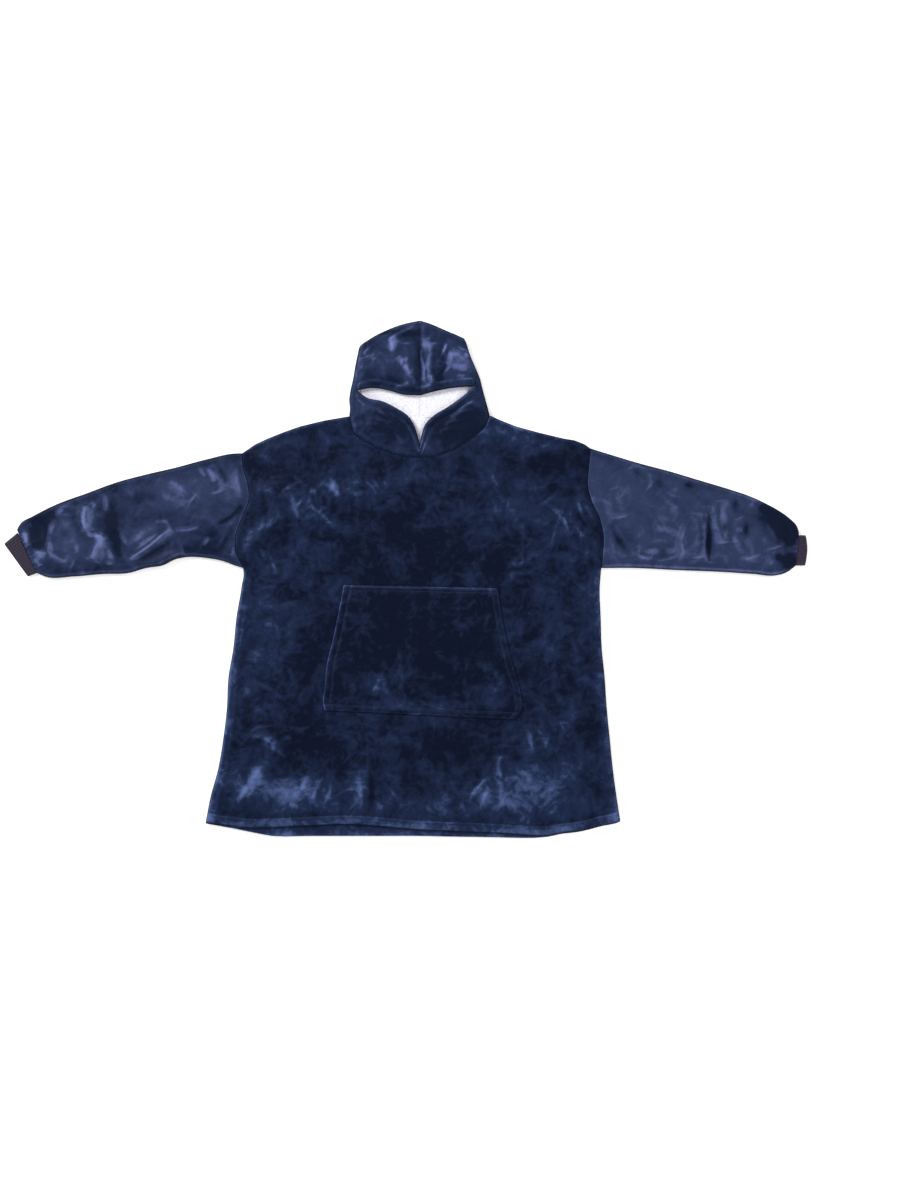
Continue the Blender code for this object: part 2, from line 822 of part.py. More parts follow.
def sleeve_map(side):
    """Plan of a sleeve: across runs from the underarm to the top fold, along from armhole to cuff."""
    hole = armhole(side)
    under = {key: value.copy() for key, value in SLEEVE_UNDERS[side].items()}
    over = {key: value.copy() for key, value in SLEEVE_TOPS[side].items()}
    for key in ("x", "y"):
        under[key][0] = hole[key][0]
        over[key][0] = hole[key][-1]
    end = {
        "x": np.array([under["x"][-1], over["x"][-1]]),
        "y": np.array([under["y"][-1], over["y"][-1]]),
    }
    height = (hole["y"] - hole["y"][0]) / (hole["y"][-1] - hole["y"][0])

    def hole_at(parts):
        return np.stack([read_line(height, hole["x"], parts), read_line(height, hole["y"], parts)], axis=-1)

    def plan_at(across, along):
        return patch_between(
            hole_at,
            lambda parts: trace(end, parts),
            lambda parts: trace(under, parts),
            lambda parts: trace(over, parts),
            across,
            along,
        )

    return plan_at, height


def build_sleeve(side, material):
    plan_at, body_rows = sleeve_map(side)
    middle = body_rows[(body_rows > SLEEVE_FOLD_SHARE) & (body_rows < 1 - SLEEVE_FOLD_SHARE)]
    across = np.concatenate([SLEEVE_FOLD_STEPS, middle, 1 - SLEEVE_FOLD_STEPS[::-1]])
    along = SLEEVE_RUNS
    end = CUFF_SEAMS[side]
    end_run = np.array([end["x"][-1] - end["x"][0], end["y"][-1] - end["y"][0]])
    end_run = end_run / np.hypot(*end_run)

    def relief(plan):
        x, y = plan[..., 0], plan[..., 1]
        raised = fold_relief(SLEEVE_FOLDS[side], x, y) + swell_relief(SLEEVE_SWELLS[side], x, y)
        from_seam = along[:, None] * SLEEVE_LENGTH
        from_cuff = np.abs((x - end["x"][0]) * end_run[1] - (y - end["y"][0]) * end_run[0])
        open_part = smooth_step(from_seam / EDGE_FADE) * smooth_step(from_cuff / EDGE_FADE)
        raised = (raised + SLEEVE_SWELL) * open_part
        down_cuff = (x - end["x"][0]) * end_run[0] + (y - end["y"][0]) * end_run[1]
        gather = GATHER_HEIGHT * np.cos(2 * np.pi * down_cuff / GATHER_PITCH)
        gather = gather * (1 - smooth_step(from_cuff / GATHER_REACH))
        sink = edge_drop(from_seam, SEAM_REACH, SEAM_DIP)
        sink = sink + edge_drop(from_cuff, SLEEVE_END_REACH, SLEEVE_END_DROP)
        return raised, gather, sink

    def top_height(plan):
        raised, gather, sink = relief(plan)
        return FRONT_TOP + raised + gather - sink

    def inner_top(plan, edge):
        raised, _, _ = relief(plan)
        slack = np.maximum(raised - FOLD_SLACK, 0.0)
        return FRONT_UNDER + slack * smooth_step(edge / SLEEVE_INNER_FADE)

    levels = ((CLOTH + FRONT_UNDER) / 2, CLOTH)
    patches = tube_patches(
        plan_at, across, along, top_height, inner_top, levels, SLEEVE_ROUND, SLEEVE_INSET, side < 0
    )
    return cloth_wall("sleeve_left" if side < 0 else "sleeve_right", patches, material)


def build_cuff(side, material):
    seam = CUFF_SEAMS[side]
    end = CUFF_ENDS[side]
    out = np.array([end["x"][0] - seam["x"][0], end["y"][0] - seam["y"][0]])
    out = out / np.hypot(*out) * CUFF_GAP
    start = {"x": seam["x"][::-1] + out[0], "y": seam["y"][::-1] + out[1]}
    finish = {"x": end["x"][::-1], "y": end["y"][::-1]}
    sides = [
        {"x": np.array([start["x"][k], finish["x"][k]]), "y": np.array([start["y"][k], finish["y"][k]])}
        for k in (0, -1)
    ]
    ribs = np.linspace(CUFF_RIB_START, 1 - CUFF_RIB_START, CUFF_RIBS * CUFF_RIB_STEPS + 1)
    across = np.concatenate([[0.0, CUFF_FOLD_STEP], ribs, [1 - CUFF_FOLD_STEP, 1.0]])
    along = CUFF_RUNS

    def plan_at(parts, runs):
        return patch_between(
            lambda at: trace(start, at),
            lambda at: trace(finish, at),
            lambda at: trace(sides[0], at),
            lambda at: trace(sides[1], at),
            parts,
            runs,
        )

    phase = np.clip((across - CUFF_RIB_START) / (1 - 2 * CUFF_RIB_START), 0.0, 1.0) * CUFF_RIBS
    rib = RIB_RISE * 0.5 * (1 - np.cos(2 * np.pi * phase))[None, :]
    roll = edge_drop((1 - along)[:, None] * CUFF_DEPTH, CUFF_EDGE_RUN, CUFF_EDGE_ROLL)

    def top_height(plan):
        return 2 * RIB_CLOTH + CUFF_CAVITY + rib - roll

    def inner_top(plan, edge):
        return np.full(plan.shape[:2], RIB_CLOTH + CUFF_CAVITY)

    levels = (RIB_CLOTH + CUFF_CAVITY / 2, RIB_CLOTH)
    patches = tube_patches(
        plan_at, across, along, top_height, inner_top, levels, CUFF_ROUND, CUFF_INSET, side < 0
    )
    return cloth_wall("cuff_left" if side < 0 else "cuff_right", patches, material)


def neck_edge(side, front):
    """Neck edge of one half, from the shoulder corner to the centre, inside the panel's own edge."""
    plan, _, _ = body_plan(front)
    edge = plan[-1]
    low, high = (NECK_LEFT, CENTRE_FRONT) if side < 0 else (CENTRE_FRONT, NECK_RIGHT)
    points = edge[(STATIONS >= low - TOLERANCE) & (STATIONS <= high + TOLERANCE)]
    points = points if side < 0 else points[::-1]
    run = np.gradient(points, axis=0)
    run = run / np.hypot(*run.T)[:, None]
    inward = np.stack([side * run[:, 1], -side * run[:, 0]], axis=-1)
    inward[0] = (-side * NECK_CORNER[0], NECK_CORNER[1])
    inward[-1] = (0.0, 1.0)
    points = points + inward * SLANT_GAP
    points[-1, 0] = CENTRE_FRONT + side * SEAM / 2
    return {"x": points[:, 0], "y": points[:, 1]}


def led_by(first, route):
    """A route with the first point of another one put before it."""
    return {key: np.append(first[key][:1], route[key]) for key in ("x", "y")}


def at_centre(route, side):
    """A route whose last point lies on this half's side of the centre seam."""
    x = route["x"].copy()
    x[-1] = CENTRE_FRONT + side * SEAM / 2
    return {"x": x, "y": route["y"]}


def hood_edges(side):
    """The edges that bound the cheek, the crown and the back of one hood panel."""
    column = "left" if side < 0 else "right"
    cheek_foot = neck_edge(side, front=True)
    back_foot = neck_edge(side, front=False)
    low_side = {"x": HOOD_SIDES[column][:LOW_SIDE_POINTS], "y": HOOD_SIDES["y"][:LOW_SIDE_POINTS]}
    high_side = {"x": HOOD_SIDES[column][LOW_SIDE_POINTS - 1 :], "y": HOOD_SIDES["y"][LOW_SIDE_POINTS - 1 :]}
    return {
        "cheek_foot": cheek_foot,
        "back_foot": back_foot,
        "low_side": led_by(cheek_foot, low_side),
        "high_side": high_side,
        "upper": led_by(high_side, at_centre(OPENING_UPPER[side], side)),
        "lower": led_by(high_side, at_centre(OPENING_LOWER[side], side)),
        "top": at_centre(HOOD_TOPS[side], side),
    }


def straight(start, end):
    return {"x": np.array([start["x"][-1], end["x"][-1]]), "y": np.array([start["y"][-1], end["y"][-1]])}


def tip_first(route):
    """Reads a route so that its second point, the tip of the opening, falls at OPENING_TIP."""
    first = {"x": route["x"][:2], "y": route["y"][:2]}
    rest = {"x": route["x"][1:], "y": route["y"][1:]}

    def at(parts):
        low = trace(first, np.clip(parts / OPENING_TIP, 0.0, 1.0))
        high = trace(rest, np.clip((parts - OPENING_TIP) / (1 - OPENING_TIP), 0.0, 1.0))
        return np.where((parts <= OPENING_TIP)[:, None], low, high)

    return at


def build_hood(side, material):
    edges = hood_edges(side)
    across, cheek, crown = HOOD_PARTS, CHEEK_RUNS, CROWN_RUNS
    back = np.concatenate([cheek * LOW_SIDE_SHARE, LOW_SIDE_SHARE + crown[1:] * (1 - LOW_SIDE_SHARE)])

    def share_of_side(parts):
        low = trace(edges["low_side"], np.clip(parts / LOW_SIDE_SHARE, 0.0, 1.0))
        high = trace(edges["high_side"], np.clip((parts - LOW_SIDE_SHARE) / (1 - LOW_SIDE_SHARE), 0.0, 1.0))
        return np.where((parts <= LOW_SIDE_SHARE)[:, None], low, high)

    def cheek_plan(parts, runs):
        return patch_between(
            lambda at: trace(edges["cheek_foot"], at, smooth=False),
            tip_first(edges["lower"]),
            lambda at: trace(edges["low_side"], at),
            lambda at: trace(straight(edges["cheek_foot"], edges["lower"]), at),
            parts,
            runs,
        )

    def crown_plan(parts, runs):
        return patch_between(
            tip_first(edges["upper"]),
            lambda at: trace(edges["top"], at),
            lambda at: trace(edges["high_side"], at),
            lambda at: trace(straight(edges["upper"], edges["top"]), at),
            parts,
            runs,
        )

    def back_plan(parts, runs):
        return patch_between(
            lambda at: trace(edges["back_foot"], at, smooth=False),
            lambda at: trace(edges["top"], at),
            share_of_side,
            lambda at: trace(straight(edges["back_foot"], edges["top"]), at),
            parts,
            runs,
        )

    fold_height = (CLOTH + HOOD_UNDER) / 2
    side_away = across[None, :] * HOOD_HALF

    def drawn_in(plan, away):
        run = HOOD_MIDDLE - plan
        run = run / np.hypot(run[..., 0], run[..., 1])[..., None]
        return plan + run * np.maximum(FOLD_INSET - away / 2, 0.0)[..., None]

    def surface(plan, from_slit, from_top, from_foot):
        x, y = plan[..., 0], plan[..., 1]
        from_centre = np.abs(x - CENTRE_FRONT)
        rises = smooth_step(from_foot / HOOD_RISE_RUN)
        raised = fold_relief(HOOD_FOLDS, x, y) * rises
        off_seam = smooth_step(from_foot / HOOD_SEAM_RUN)
        swell = HOOD_SWELL * smooth_step(side_away / EDGE_FADE) * smooth_step(from_top / EDGE_FADE) * off_seam
        groove = HOOD_GROOVE * np.exp(-((from_centre / GROOVE_WIDTH) ** 2)) * off_seam
        band = np.clip(from_slit / OPENING_BAND, 0.0, 1.0)
        slit = np.where(across[None, :] > OPENING_TIP + OPENING_START, 1.0, 0.0)
        roll = OPENING_ROLL * np.sin(np.pi * band) * slit
        roll = roll - stitch_sink(from_slit, OPENING_BAND) * slit
        roll = roll - edge_drop(from_slit, OPENING_EDGE, OPENING_EDGE_DROP) * slit
        base = HOOD_UNDER + HOOD_CLOTH - HOOD_FOOT_SINK * (1 - smooth_step(from_foot / HOOD_FOOT_RUN))
        high = base + raised + swell - groove + roll
        nearest = np.minimum(side_away, from_top)
        high = high - edge_drop(nearest, HOOD_ROUND, 1.0) * (high - fold_height)
        slack = np.maximum(raised + swell - groove - FOLD_SLACK, 0.0)
        slack = slack * smooth_step((nearest - HOOD_SLACK_START) / HOOD_SLACK_RUN)
        return high, HOOD_UNDER + slack - (HOOD_UNDER - FRONT_UNDER) * (1 - rises)

    cheek_outer = cheek_plan(across, cheek)
    length = np.hypot(*(cheek_outer[-1] - cheek_outer[0]).T)[None, :]
    from_foot = cheek[:, None] * np.maximum(length, CHEEK_REACH)
    far = np.ones(cheek_outer.shape[:2])
    cheek_high, cheek_low = surface(cheek_outer, (1 - cheek)[:, None] * length, far, from_foot)
    crown_outer = crown_plan(across, crown)
    length = np.hypot(*(crown_outer[-1] - crown_outer[0]).T)[None, :]
    from_top = (1 - crown)[:, None] * length
    far = np.ones(crown_outer.shape[:2])
    crown_high, crown_low = surface(crown_outer, crown[:, None] * length, from_top, far)
    back_outer = back_plan(across, back)
    length = np.hypot(*(back_outer[-1] - back_outer[0]).T)[None, :]
    back_away = np.minimum(side_away, (1 - back)[:, None] * length)
    back_high = edge_drop(back_away, HOOD_BACK_ROUND, fold_height)
    back_low = np.full_like(back_high, CLOTH)
    cheek_away = side_away + np.zeros_like(cheek_high)
    crown_away = np.minimum(side_away, from_top)
    for low in (cheek_low, crown_low, back_low):
        low[:, 0] = fold_height
    crown_low[-1] = fold_height
    back_low[-1] = fold_height
    patches = [
        (stand(cheek_outer, cheek_high), stand(drawn_in(cheek_outer, cheek_away), cheek_low), side < 0),
        (stand(crown_outer, crown_high), stand(drawn_in(crown_outer, crown_away), crown_low), side < 0),
        (stand(back_outer, back_high), stand(drawn_in(back_outer, back_away), back_low), side > 0),
    ]
    return cloth_wall("hood_left" if side < 0 else "hood_right", patches, material)


def flat_piece(name, corners, material, faces_up=True):
    """A flat piece of lining between four corners, low left, low right, high left, high right."""
    corners = np.array(corners)
    s = LINING_PARTS[None, :, None]
    t = LINING_PARTS[:, None, None]
    plan = (1 - t) * ((1 - s) * corners[0] + s * corners[1])
    plan = plan + t * ((1 - s) * corners[2] + s * corners[3])
    under = np.full(plan.shape[:2], CLOTH + SEAM)
    edge = np.minimum(np.minimum(s, 1 - s), np.minimum(t, 1 - t))[..., 0]
    over = under + LINING - LINING_PUFF * (1 - smooth_step(edge / LINING_EDGE_SHARE))
    return cloth_wall(name, [(stand(plan, over), stand(plan, under), faces_up)], material)


def build_linings(material):
    foot = BACK_NECK + LINING_GAP
    for side, name in ((-1, "hood_lining_left"), (1, "hood_lining_right")):
        outside, centre = HOOD_LINING_SIDE[side], CENTRE_FRONT + side * SEAM / 2
        feet = [(outside, HOOD_LINING_LOW), (centre, foot)]
        tips = [(outside, HOOD_LINING_TIP), (centre, HOOD_LINING_TOP)]
        flat_piece(name, feet + tips, material, faces_up=side < 0)
    (left, right), (low, high) = BACK_LINING["x"], BACK_LINING["y"]
    flat_piece("back_lining", [(left, low), (right, low), (left, high), (right, high)], material)


def build_hoodie():
    for old in list(bpy.data.objects):
        bpy.data.objects.remove(old, do_unlink=True)
    plush = new_material("navy crushed plush", (0.014, 0.020, 0.062), 0.75, 0.5)
    pile = new_material("white pile lining", (0.86, 0.84, 0.85), 0.95, 0.3)
    rib = new_material("dark rib knit", (0.022, 0.018, 0.034), 0.85, 0.1)
    build_back(plush)
    build_front(plush)
    build_pocket(plush)
    for side in (-1, 1):
        build_sleeve(side, plush)
        build_cuff(side, rib)
        build_hood(side, plush)
    build_linings(pile)


build_hoodie()
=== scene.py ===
"""Dresses the wearable blanket hoodie: crushed plush panels, white pile lining and rib cuffs.

Metres, +Z up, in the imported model's own frame. The garment lies flat, front up, on z = 0.
"""

import math

import bpy
import numpy as np
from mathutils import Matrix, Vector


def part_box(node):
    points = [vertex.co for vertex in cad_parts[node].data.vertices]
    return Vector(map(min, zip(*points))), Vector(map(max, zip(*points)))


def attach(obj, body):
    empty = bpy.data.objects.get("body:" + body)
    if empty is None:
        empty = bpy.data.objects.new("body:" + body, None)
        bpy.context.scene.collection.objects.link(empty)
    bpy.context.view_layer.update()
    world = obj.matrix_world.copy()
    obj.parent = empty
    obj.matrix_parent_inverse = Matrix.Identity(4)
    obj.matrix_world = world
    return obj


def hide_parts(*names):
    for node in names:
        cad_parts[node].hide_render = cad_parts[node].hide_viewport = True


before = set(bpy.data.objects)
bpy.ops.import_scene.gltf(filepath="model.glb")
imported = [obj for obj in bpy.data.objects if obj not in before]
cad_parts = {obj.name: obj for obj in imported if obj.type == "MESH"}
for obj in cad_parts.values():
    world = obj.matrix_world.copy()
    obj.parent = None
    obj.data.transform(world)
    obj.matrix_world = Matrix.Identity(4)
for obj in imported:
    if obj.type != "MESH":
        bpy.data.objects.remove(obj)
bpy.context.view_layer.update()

bl_info = {
    "name": "Wearable Blanket Hoodie",
    "version": (1, 0, 0),
    "blender": (4, 5, 0),
    "location": "View3D > Sidebar > Hoodie",
    "description": "Builds a plush blanket hoodie that lies flat, with its cloth, stitches and studio",
    "category": "Object",
}


def table(names, *rows):
    """A short table of millimetres, as one array of metres for each named column.

    A column named share holds plain numbers.
    """
    columns = zip(names.split(), np.array(rows, float).T)
    return {name: column if name == "share" else column / 1000 for name, column in columns}


# Cloth, seams and the levels of the layers that lie on each other, as in the solids
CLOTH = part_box("back_panel")[1][2]
SEAM = 0.0003
SLANT_GAP = 1.4 * SEAM
CUFF_GAP = 1.5 * SEAM
LINING_GAP = 1.6 * SEAM
LINING = 0.0030
RIB_CLOTH = 0.0032
POCKET_CLOTH = 0.0045
FRONT_UNDER = CLOTH + SEAM
FRONT_TOP = FRONT_UNDER + CLOTH
HOOD_UNDER = CLOTH + 2 * SEAM + LINING
FOLD_SLACK = 0.0020
TOLERANCE = 1e-6
MICROMETRES_PER_METRE = 1e6

# Middle of the outline, from the hem line and the centre front line
CENTRE_X = -0.0250
CENTRE_Y = 0.5175

# Body outline: the hem's curve fades out up to HEM_FADE, and the top's sets in at TOP_FADE
CENTRE_FRONT = 0.004
ARMPIT = 0.540
SHOULDER_END = 0.770
STATIONS_LEFT = -0.352
STATIONS_RIGHT = 0.345
HEM_FADE = 0.30
TOP_FADE = 0.56
NECK_LEFT = -0.138
NECK_RIGHT = 0.144
NECK_DROP = 0.009
NECK_DROP_POINTS = 4
NECK_CORNER = (0.8, 1.2)
BACK_NECK = 0.838
SIDES = table(
    "y left right",
    (28, -426, 406),
    (80, -416, 398),
    (140, -400, 390),
    (200, -390, 384),
    (260, -383, 378),
    (320, -380, 374),
    (380, -370, 368),
    (440, -364, 366),
    (500, -354, 364),
    (540, -350, 367),
    (567, -362.5, 369),
    (600, -365, 371),
    (637, -354, 364),
    (677, -338, 346),
    (706, -340, 339),
    (738, -349, 341),
    (770, -352, 344),
    (780, -352, 345),
)
HEM = table(
    "x back front",
    (-426, 28, 31),
    (-380, 20, 25),
    (-340, 12, 20),
    (-292, 3, 21),
    (-222, 3, 24),
    (-148, 3, 27),
    (-75, 3, 23),
    (4, 3, 16),
    (52, 2, 14),
    (169, 0, 9),
    (212, -1, 6),
    (258, 1, 5),
    (292, 8, 11),
    (328, 12, 15),
    (364, 22, 25),
    (396, 28, 31),
    (406, 32, 35),
)
SHOULDERS = table(
    "x y",
    (-352, 770),
    (-326, 788),
    (-300, 800),
    (-270, 812),
    (-236, 824),
    (-186, 836),
    (-138, 844),
    (144, 846),
    (166, 836),
    (196, 824),
    (240, 812),
    (290, 800),
    (314, 796),
    (334, 788),
    (345, 780),
)
NECKLINE = table(
    "x y",
    (-129, 806),
    (-115, 797),
    (-87, 782),
    (-45, 766),
    (4, 760),
    (50, 767),
    (90, 786),
    (115, 804),
    (135, 822),
)

# Turned hem, topstitches and the rounding of free edges
HEM_DEPTH = 0.019
HEM_ROLL = 0.0014
STITCH_SINK = 0.0018
STITCH_WIDTH = 0.0024
STITCH_PULL = {"hem": 0.4, "pocket_side": 0.7, "pocket_foot": 0.8, "pocket_top": 0.4, "opening": 0.5}
STATIONS_WITHOUT_STITCH = 3
EDGE_RADIUS = 0.0080
EDGE_DROP = 0.0056
EDGE_FADE = 0.030
HEM_DROP_SHARE = 0.6
BACK_DROP_SHARE = 0.8
UNDER_ROUND_SHARE = 0.6
SEAM_DIP = 0.0026
SEAM_REACH = 0.011
NECK_DIP = 0.0012
UNDERARM_FADE = 0.020
UNDERARM_FREE = 0.005
OUT_OF_REACH = 1.0

# Height of a stitch's middle over its route, in radii of its thread
STITCH_REST = 0.4

# Soft bands beside an edge: how much, how far in, and how wide. SIDE_PRESS presses the cloth down; the other
# two are painted highlights on the rounded sides and the rolled hem
SIDE_PRESS = (0.0007, 0.018, 0.0030)
SIDE_PAINTED_HIGHLIGHT = (0.26, 0.008, 0.010)
HEM_PAINTED_HIGHLIGHT = (0.36, 0.008, 0.007)

# Lighter (+) or darker (-) near an edge: how much, and over what distance it fades.
# The back is lighter towards its hem. The rest is painted light: painted shade in the armhole
# seam's dip, along the sleeves' and hood's folded edges and at the hood's foot, and painted
# highlights on the pocket's rounded edges and along the face opening's rolled edge.
ARMHOLE_PAINTED_SHADE = (-0.16, 0.010)
BACK_HEM_LIGHTER = (0.36, 0.020)
POCKET_EDGE_HIGHLIGHT = (0.22, 0.006)
SLEEVE_EDGE_SHADE = (-0.14, 0.010)
HOOD_EDGE_SHADE = (-0.16, 0.010)
HOOD_FOOT_SHADE = (-0.30, 0.006)
OPENING_HIGHLIGHT = (0.04, 0.006)

# Largest folds of the front: ridges are up, troughs are down
BODY_FOLDS = table(
    "x0 y0 x1 y1 bow width height",
    (-320, 690, -262, 700, 6, 14, 3.5),
    (-270, 695, -222, 650, 8, 15, 5.4),
    (-235, 672, -160, 606, -10, 16, 5.8),
    (-190, 714, -140, 672, 6, 14, 4.8),
    (-150, 696, -80, 688, 8, 14, 3.8),
    (-345, 560, -262, 628, 14, 18, 5.8),
    (-330, 520, -240, 560, 12, 18, -3.5),
    (-336, 212, -258, 168, 10, 16, 4.8),
    (-366, 62, -300, 152, -12, 17, 5.8),
    (-118, 136, -110, 52, 6, 15, 5.1),
    (-232, 58, -214, 150, 10, 20, -3.5),
    (-60, 48, -44, 122, -8, 18, 3.8),
    (62, 40, 80, 112, 6, 18, 3.5),
    (166, 164, 176, 106, 4, 15, 4.8),
    (200, 236, 244, 158, 10, 16, 5.1),
    (262, 52, 300, 148, -12, 20, 4.8),
    (330, 690, 372, 612, -14, 16, 5.8),
    (256, 676, 316, 602, 12, 16, 5.8),
    (358, 560, 270, 604, -14, 18, 5.4),
    (350, 520, 262, 548, 10, 18, -3.5),
    (184, 512, 240, 560, 16, 15, 4.2),
    (-262, 470, -236, 380, 12, 20, 4.2),
    (-330, 430, -282, 330, -12, 20, -3.2),
    (300, 450, 262, 340, 12, 20, 4.2),
    (330, 330, 290, 230, -10, 20, -3.2),
    (-300, 790, -215, 758, 6, 14, 4.2),
    (296, 782, 210, 748, -6, 14, 4.2),
    (-60, 722, 70, 728, -12, 16, 3.8),
    (-30, 640, 110, 600, 12, 20, -2.9),
)
BODY_SWELLS = table(
    "x y reach_x reach_y height",
    (-295, 90, 80, 60, 3.9),
    (236, 92, 90, 70, 3.9),
    (-10, 100, 120, 60, 2.1),
    (-190, 600, 110, 110, 3),
    (190, 640, 120, 100, 3.3),
    (0, 660, 100, 60, 2.4),
    (-240, 740, 90, 50, 2.7),
    (240, 740, 90, 50, 2.7),
    (-290, 300, 60, 120, 2.7),
    (290, 300, 60, 120, 2.7),
)

# Finer creases pressed into the plush, thin and uneven
BODY_CREASES = table(
    "x0 y0 x1 y1 bow width height",
    (-308, 689, -284, 697, 1, 4, 2),
    (-266, 688, -236, 662, 4, 4.5, 2.2),
    (-224, 664, -168, 616, 6, 4.5, 2.5),
    (-184, 706, -150, 678, 3, 4, 2.2),
    (-140, 690, -94, 694, -3, 4, 2),
    (-104, 712, -86, 684, 3, 3.5, 1.6),
    (-90, 716, -76, 692, 2, 3.5, 1.5),
    (-246, 726, -222, 700, -3, 4, 1.5),
    (-198, 648, -176, 660, 3, 4, 1.6),
    (-292, 552, -280, 524, 3, 4.5, 2),
    (-300, 568, -276, 548, -3, 4, 1.8),
    (-318, 764, -282, 742, 4, 4, 1.8),
    (-196, 812, -172, 780, 4, 4, 1.6),
    (-332, 206, -268, 170, 10, 4.5, 2.5),
    (-312, 190, -262, 158, 6, 4.5, 2),
    (-326, 260, -300, 238, 4, 4.5, 1.8),
    (-357, 67, -338, 103, 1, 5, 1.8),
    (-338, 100, -308, 142, 3, 8, 1.2),
    (-300, 98, -284, 78, 1, 4, 1.2),
    (-276, 108, -262, 84, 1, 4, 1.2),
    (-312, 84, -296, 70, 1, 4, 1.2),
    (-250, 100, -238, 74, 1, 4, 1.2),
    (-262, 66, -240, 62, 1, 4, 1.2),
    (-334, 86, -322, 66, 1, 5, -1.6),
    (-292, 118, -268, 124, 1, 5, -1.6),
    (-273, 196, -250, 198, 1, 4, 2),
    (-333, 314, -262, 274, 2, 4, 1.8),
    (-307, 427, -288, 422, 0, 4, 1.8),
    (-270, 692, -230, 713, 1, 3.5, 1.4),
    (-177, 720, -154, 684, -1, 4, 2.4),
    (-68, 713, -58, 699, 0, 4, 1.6),
    (-214, 747, -202, 742, 0, 4, 1.6),
    (-216, 694, -200, 690, 0, 5, 2.2),
    (-314, 579, -302, 556, 0, 4, 2.2),
    (-340, 666, -350, 634, 0, 5, 2.4),
    (-230, 92, -212, 130, 4, 4, 1.8),
    (-208, 76, -188, 118, 4, 4, 1.8),
    (-186, 66, -172, 112, -3, 4, 1.6),
    (-118, 132, -112, 56, 4, 4, 0.9),
    (-96, 120, -94, 52, 3, 4.5, -2),
    (-60, 100, -30, 64, 4, 4, 1.5),
    (40, 116, 62, 82, -4, 4, 1.5),
    (160, 160, 166, 116, 3, 3.5, 1.6),
    (120, 92, 152, 122, 6, 4.5, 1.8),
    (104, 70, 128, 104, 4, 4.5, 1.8),
    (206, 230, 232, 172, 6, 4.5, 1.7),
    (226, 226, 256, 186, 4, 4, 1.8),
    (264, 214, 246, 176, 4, 4, 1.5),
    (338, 672, 364, 628, -6, 4.5, 2.8),
    (318, 664, 346, 616, -6, 4.5, -2.2),
    (346, 590, 366, 574, 3, 4, 2),
    (264, 666, 304, 614, 6, 4.5, 2.2),
    (300, 640, 330, 590, 4, 4.5, 1.8),
    (188, 548, 226, 560, -8, 4.5, 2.2),
    (196, 526, 240, 520, 10, 4.5, 2),
    (186, 536, 210, 508, -6, 4, 1.5),
    (150, 700, 172, 668, 4, 4, 1.5),
    (196, 640, 214, 600, 4, 4, 1.8),
    (234, 770, 258, 744, -4, 4, 1.5),
    (214, 806, 250, 790, 3, 4, 1.5),
    (-262, 222, -214, 190, 8, 3.5, 1.6),
    (-236, 214, -204, 216, 4, 3.5, 1.4),
    (-214, 196, -190, 222, -4, 3.5, 1.4),
    (-150, 206, -120, 180, 4, 3.5, 1.2),
    (-60, 214, -36, 188, -4, 3.5, 1.2),
    (120, 214, 146, 184, 4, 3.5, 1.2),
    (120, 736, 136, 700, 3, 3.5, 1.3),
    (150, 730, 164, 700, -3, 3.5, 1.3),
    (-20, 610, 16, 622, 4, 4, 1),
    (60, 560, 98, 580, -4, 4, 1),
    (-300, 440, -276, 398, 6, 4.5, 1.5),
    (-256, 340, -236, 300, -4, 4.5, 1.5),
    (300, 400, 320, 350, 6, 4.5, 1.5),
    (270, 300, 300, 262, -4, 4.5, 1.5),
    # The last three: a shallow trough along the pocket's foot, painted dark by the crease shading as a
    # painted shadow of the pocket's edge
    (-184, 251, -60, 247, 0, 3.5, -1.1),
    (-70, 247, 70, 242, 0, 3.5, -1.2),
    (60, 242, 178, 234, 0, 3.5, -1.2),
)

# Patches lighter or darker than the even tone: the nap's own patches, and painted light, with painted
# highlights on the swells and painted shade in troughs
BODY_NAP_AND_PAINTED_LIGHT = table(
    "x y reach_x reach_y share",
    (-282, 88, 64, 34, 0.50),
    (-272, 102, 30, 14, 0.14),
    (-318, 112, 26, 26, 0.14),
    (-322, 128, 18, 24, 0.24),
    (-210, 80, 40, 30, 0.20),
    (-124, 92, 30, 30, 0.12),
    (-94, 92, 8, 34, -0.30),
    (-346, 292, 16, 14, 0.24),
    (240, 88, 84, 54, 0.36),
    (250, 150, 50, 40, 0.14),
    (150, 70, 70, 30, 0.22),
    (-20, 60, 110, 22, 0.18),
    (-300, 360, 40, 40, 0.18),
    (-320, 460, 26, 60, 0.12),
    (-110, 696, 44, 20, 0.14),
    (-150, 688, 20, 14, 0.16),
    (196, 660, 40, 50, 0.18),
    (-280, 776, 14, 12, 0.16),
    (-160, 800, 24, 24, 0.14),
    (170, 810, 44, 24, 0.36),
    (292, 770, 40, 20, 0.10),
    (0, 560, 160, 80, -0.18),
    (-40, 640, 90, 50, -0.08),
    (-250, 740, 60, 60, -0.12),
    (-230, 190, 90, 50, -0.20),
    (60, 190, 120, 40, -0.22),
    (-215, 330, 36, 110, -0.14),
    (226, 310, 26, 110, -0.10),
    (156, 652, 12, 14, 0.22),
    (260, 760, 60, 40, -0.12),
)

# Pressed wrinkles: how high they stand, and how much lighter they are painted. For the back and
# body_fine that is a nap pattern of its own; the others are painted highlights on the wrinkles' ridges.
CRUSH_HEIGHT = {
    "body": 0.0026,
    "back": 0.0010,
    "pocket": 0.0009,
    "sleeve": 0.0009,
    "sleeve_under": 0.0010,
    "hood": 0.0007,
    "hood_back": 0.0009,
}
CRUSH_NAP_AND_HIGHLIGHT = {"body": 0.08, "body_fine": 0.10, "back": 0.18, "pocket": 0.14, "hood": 0.10, "hood_back": 0.2}

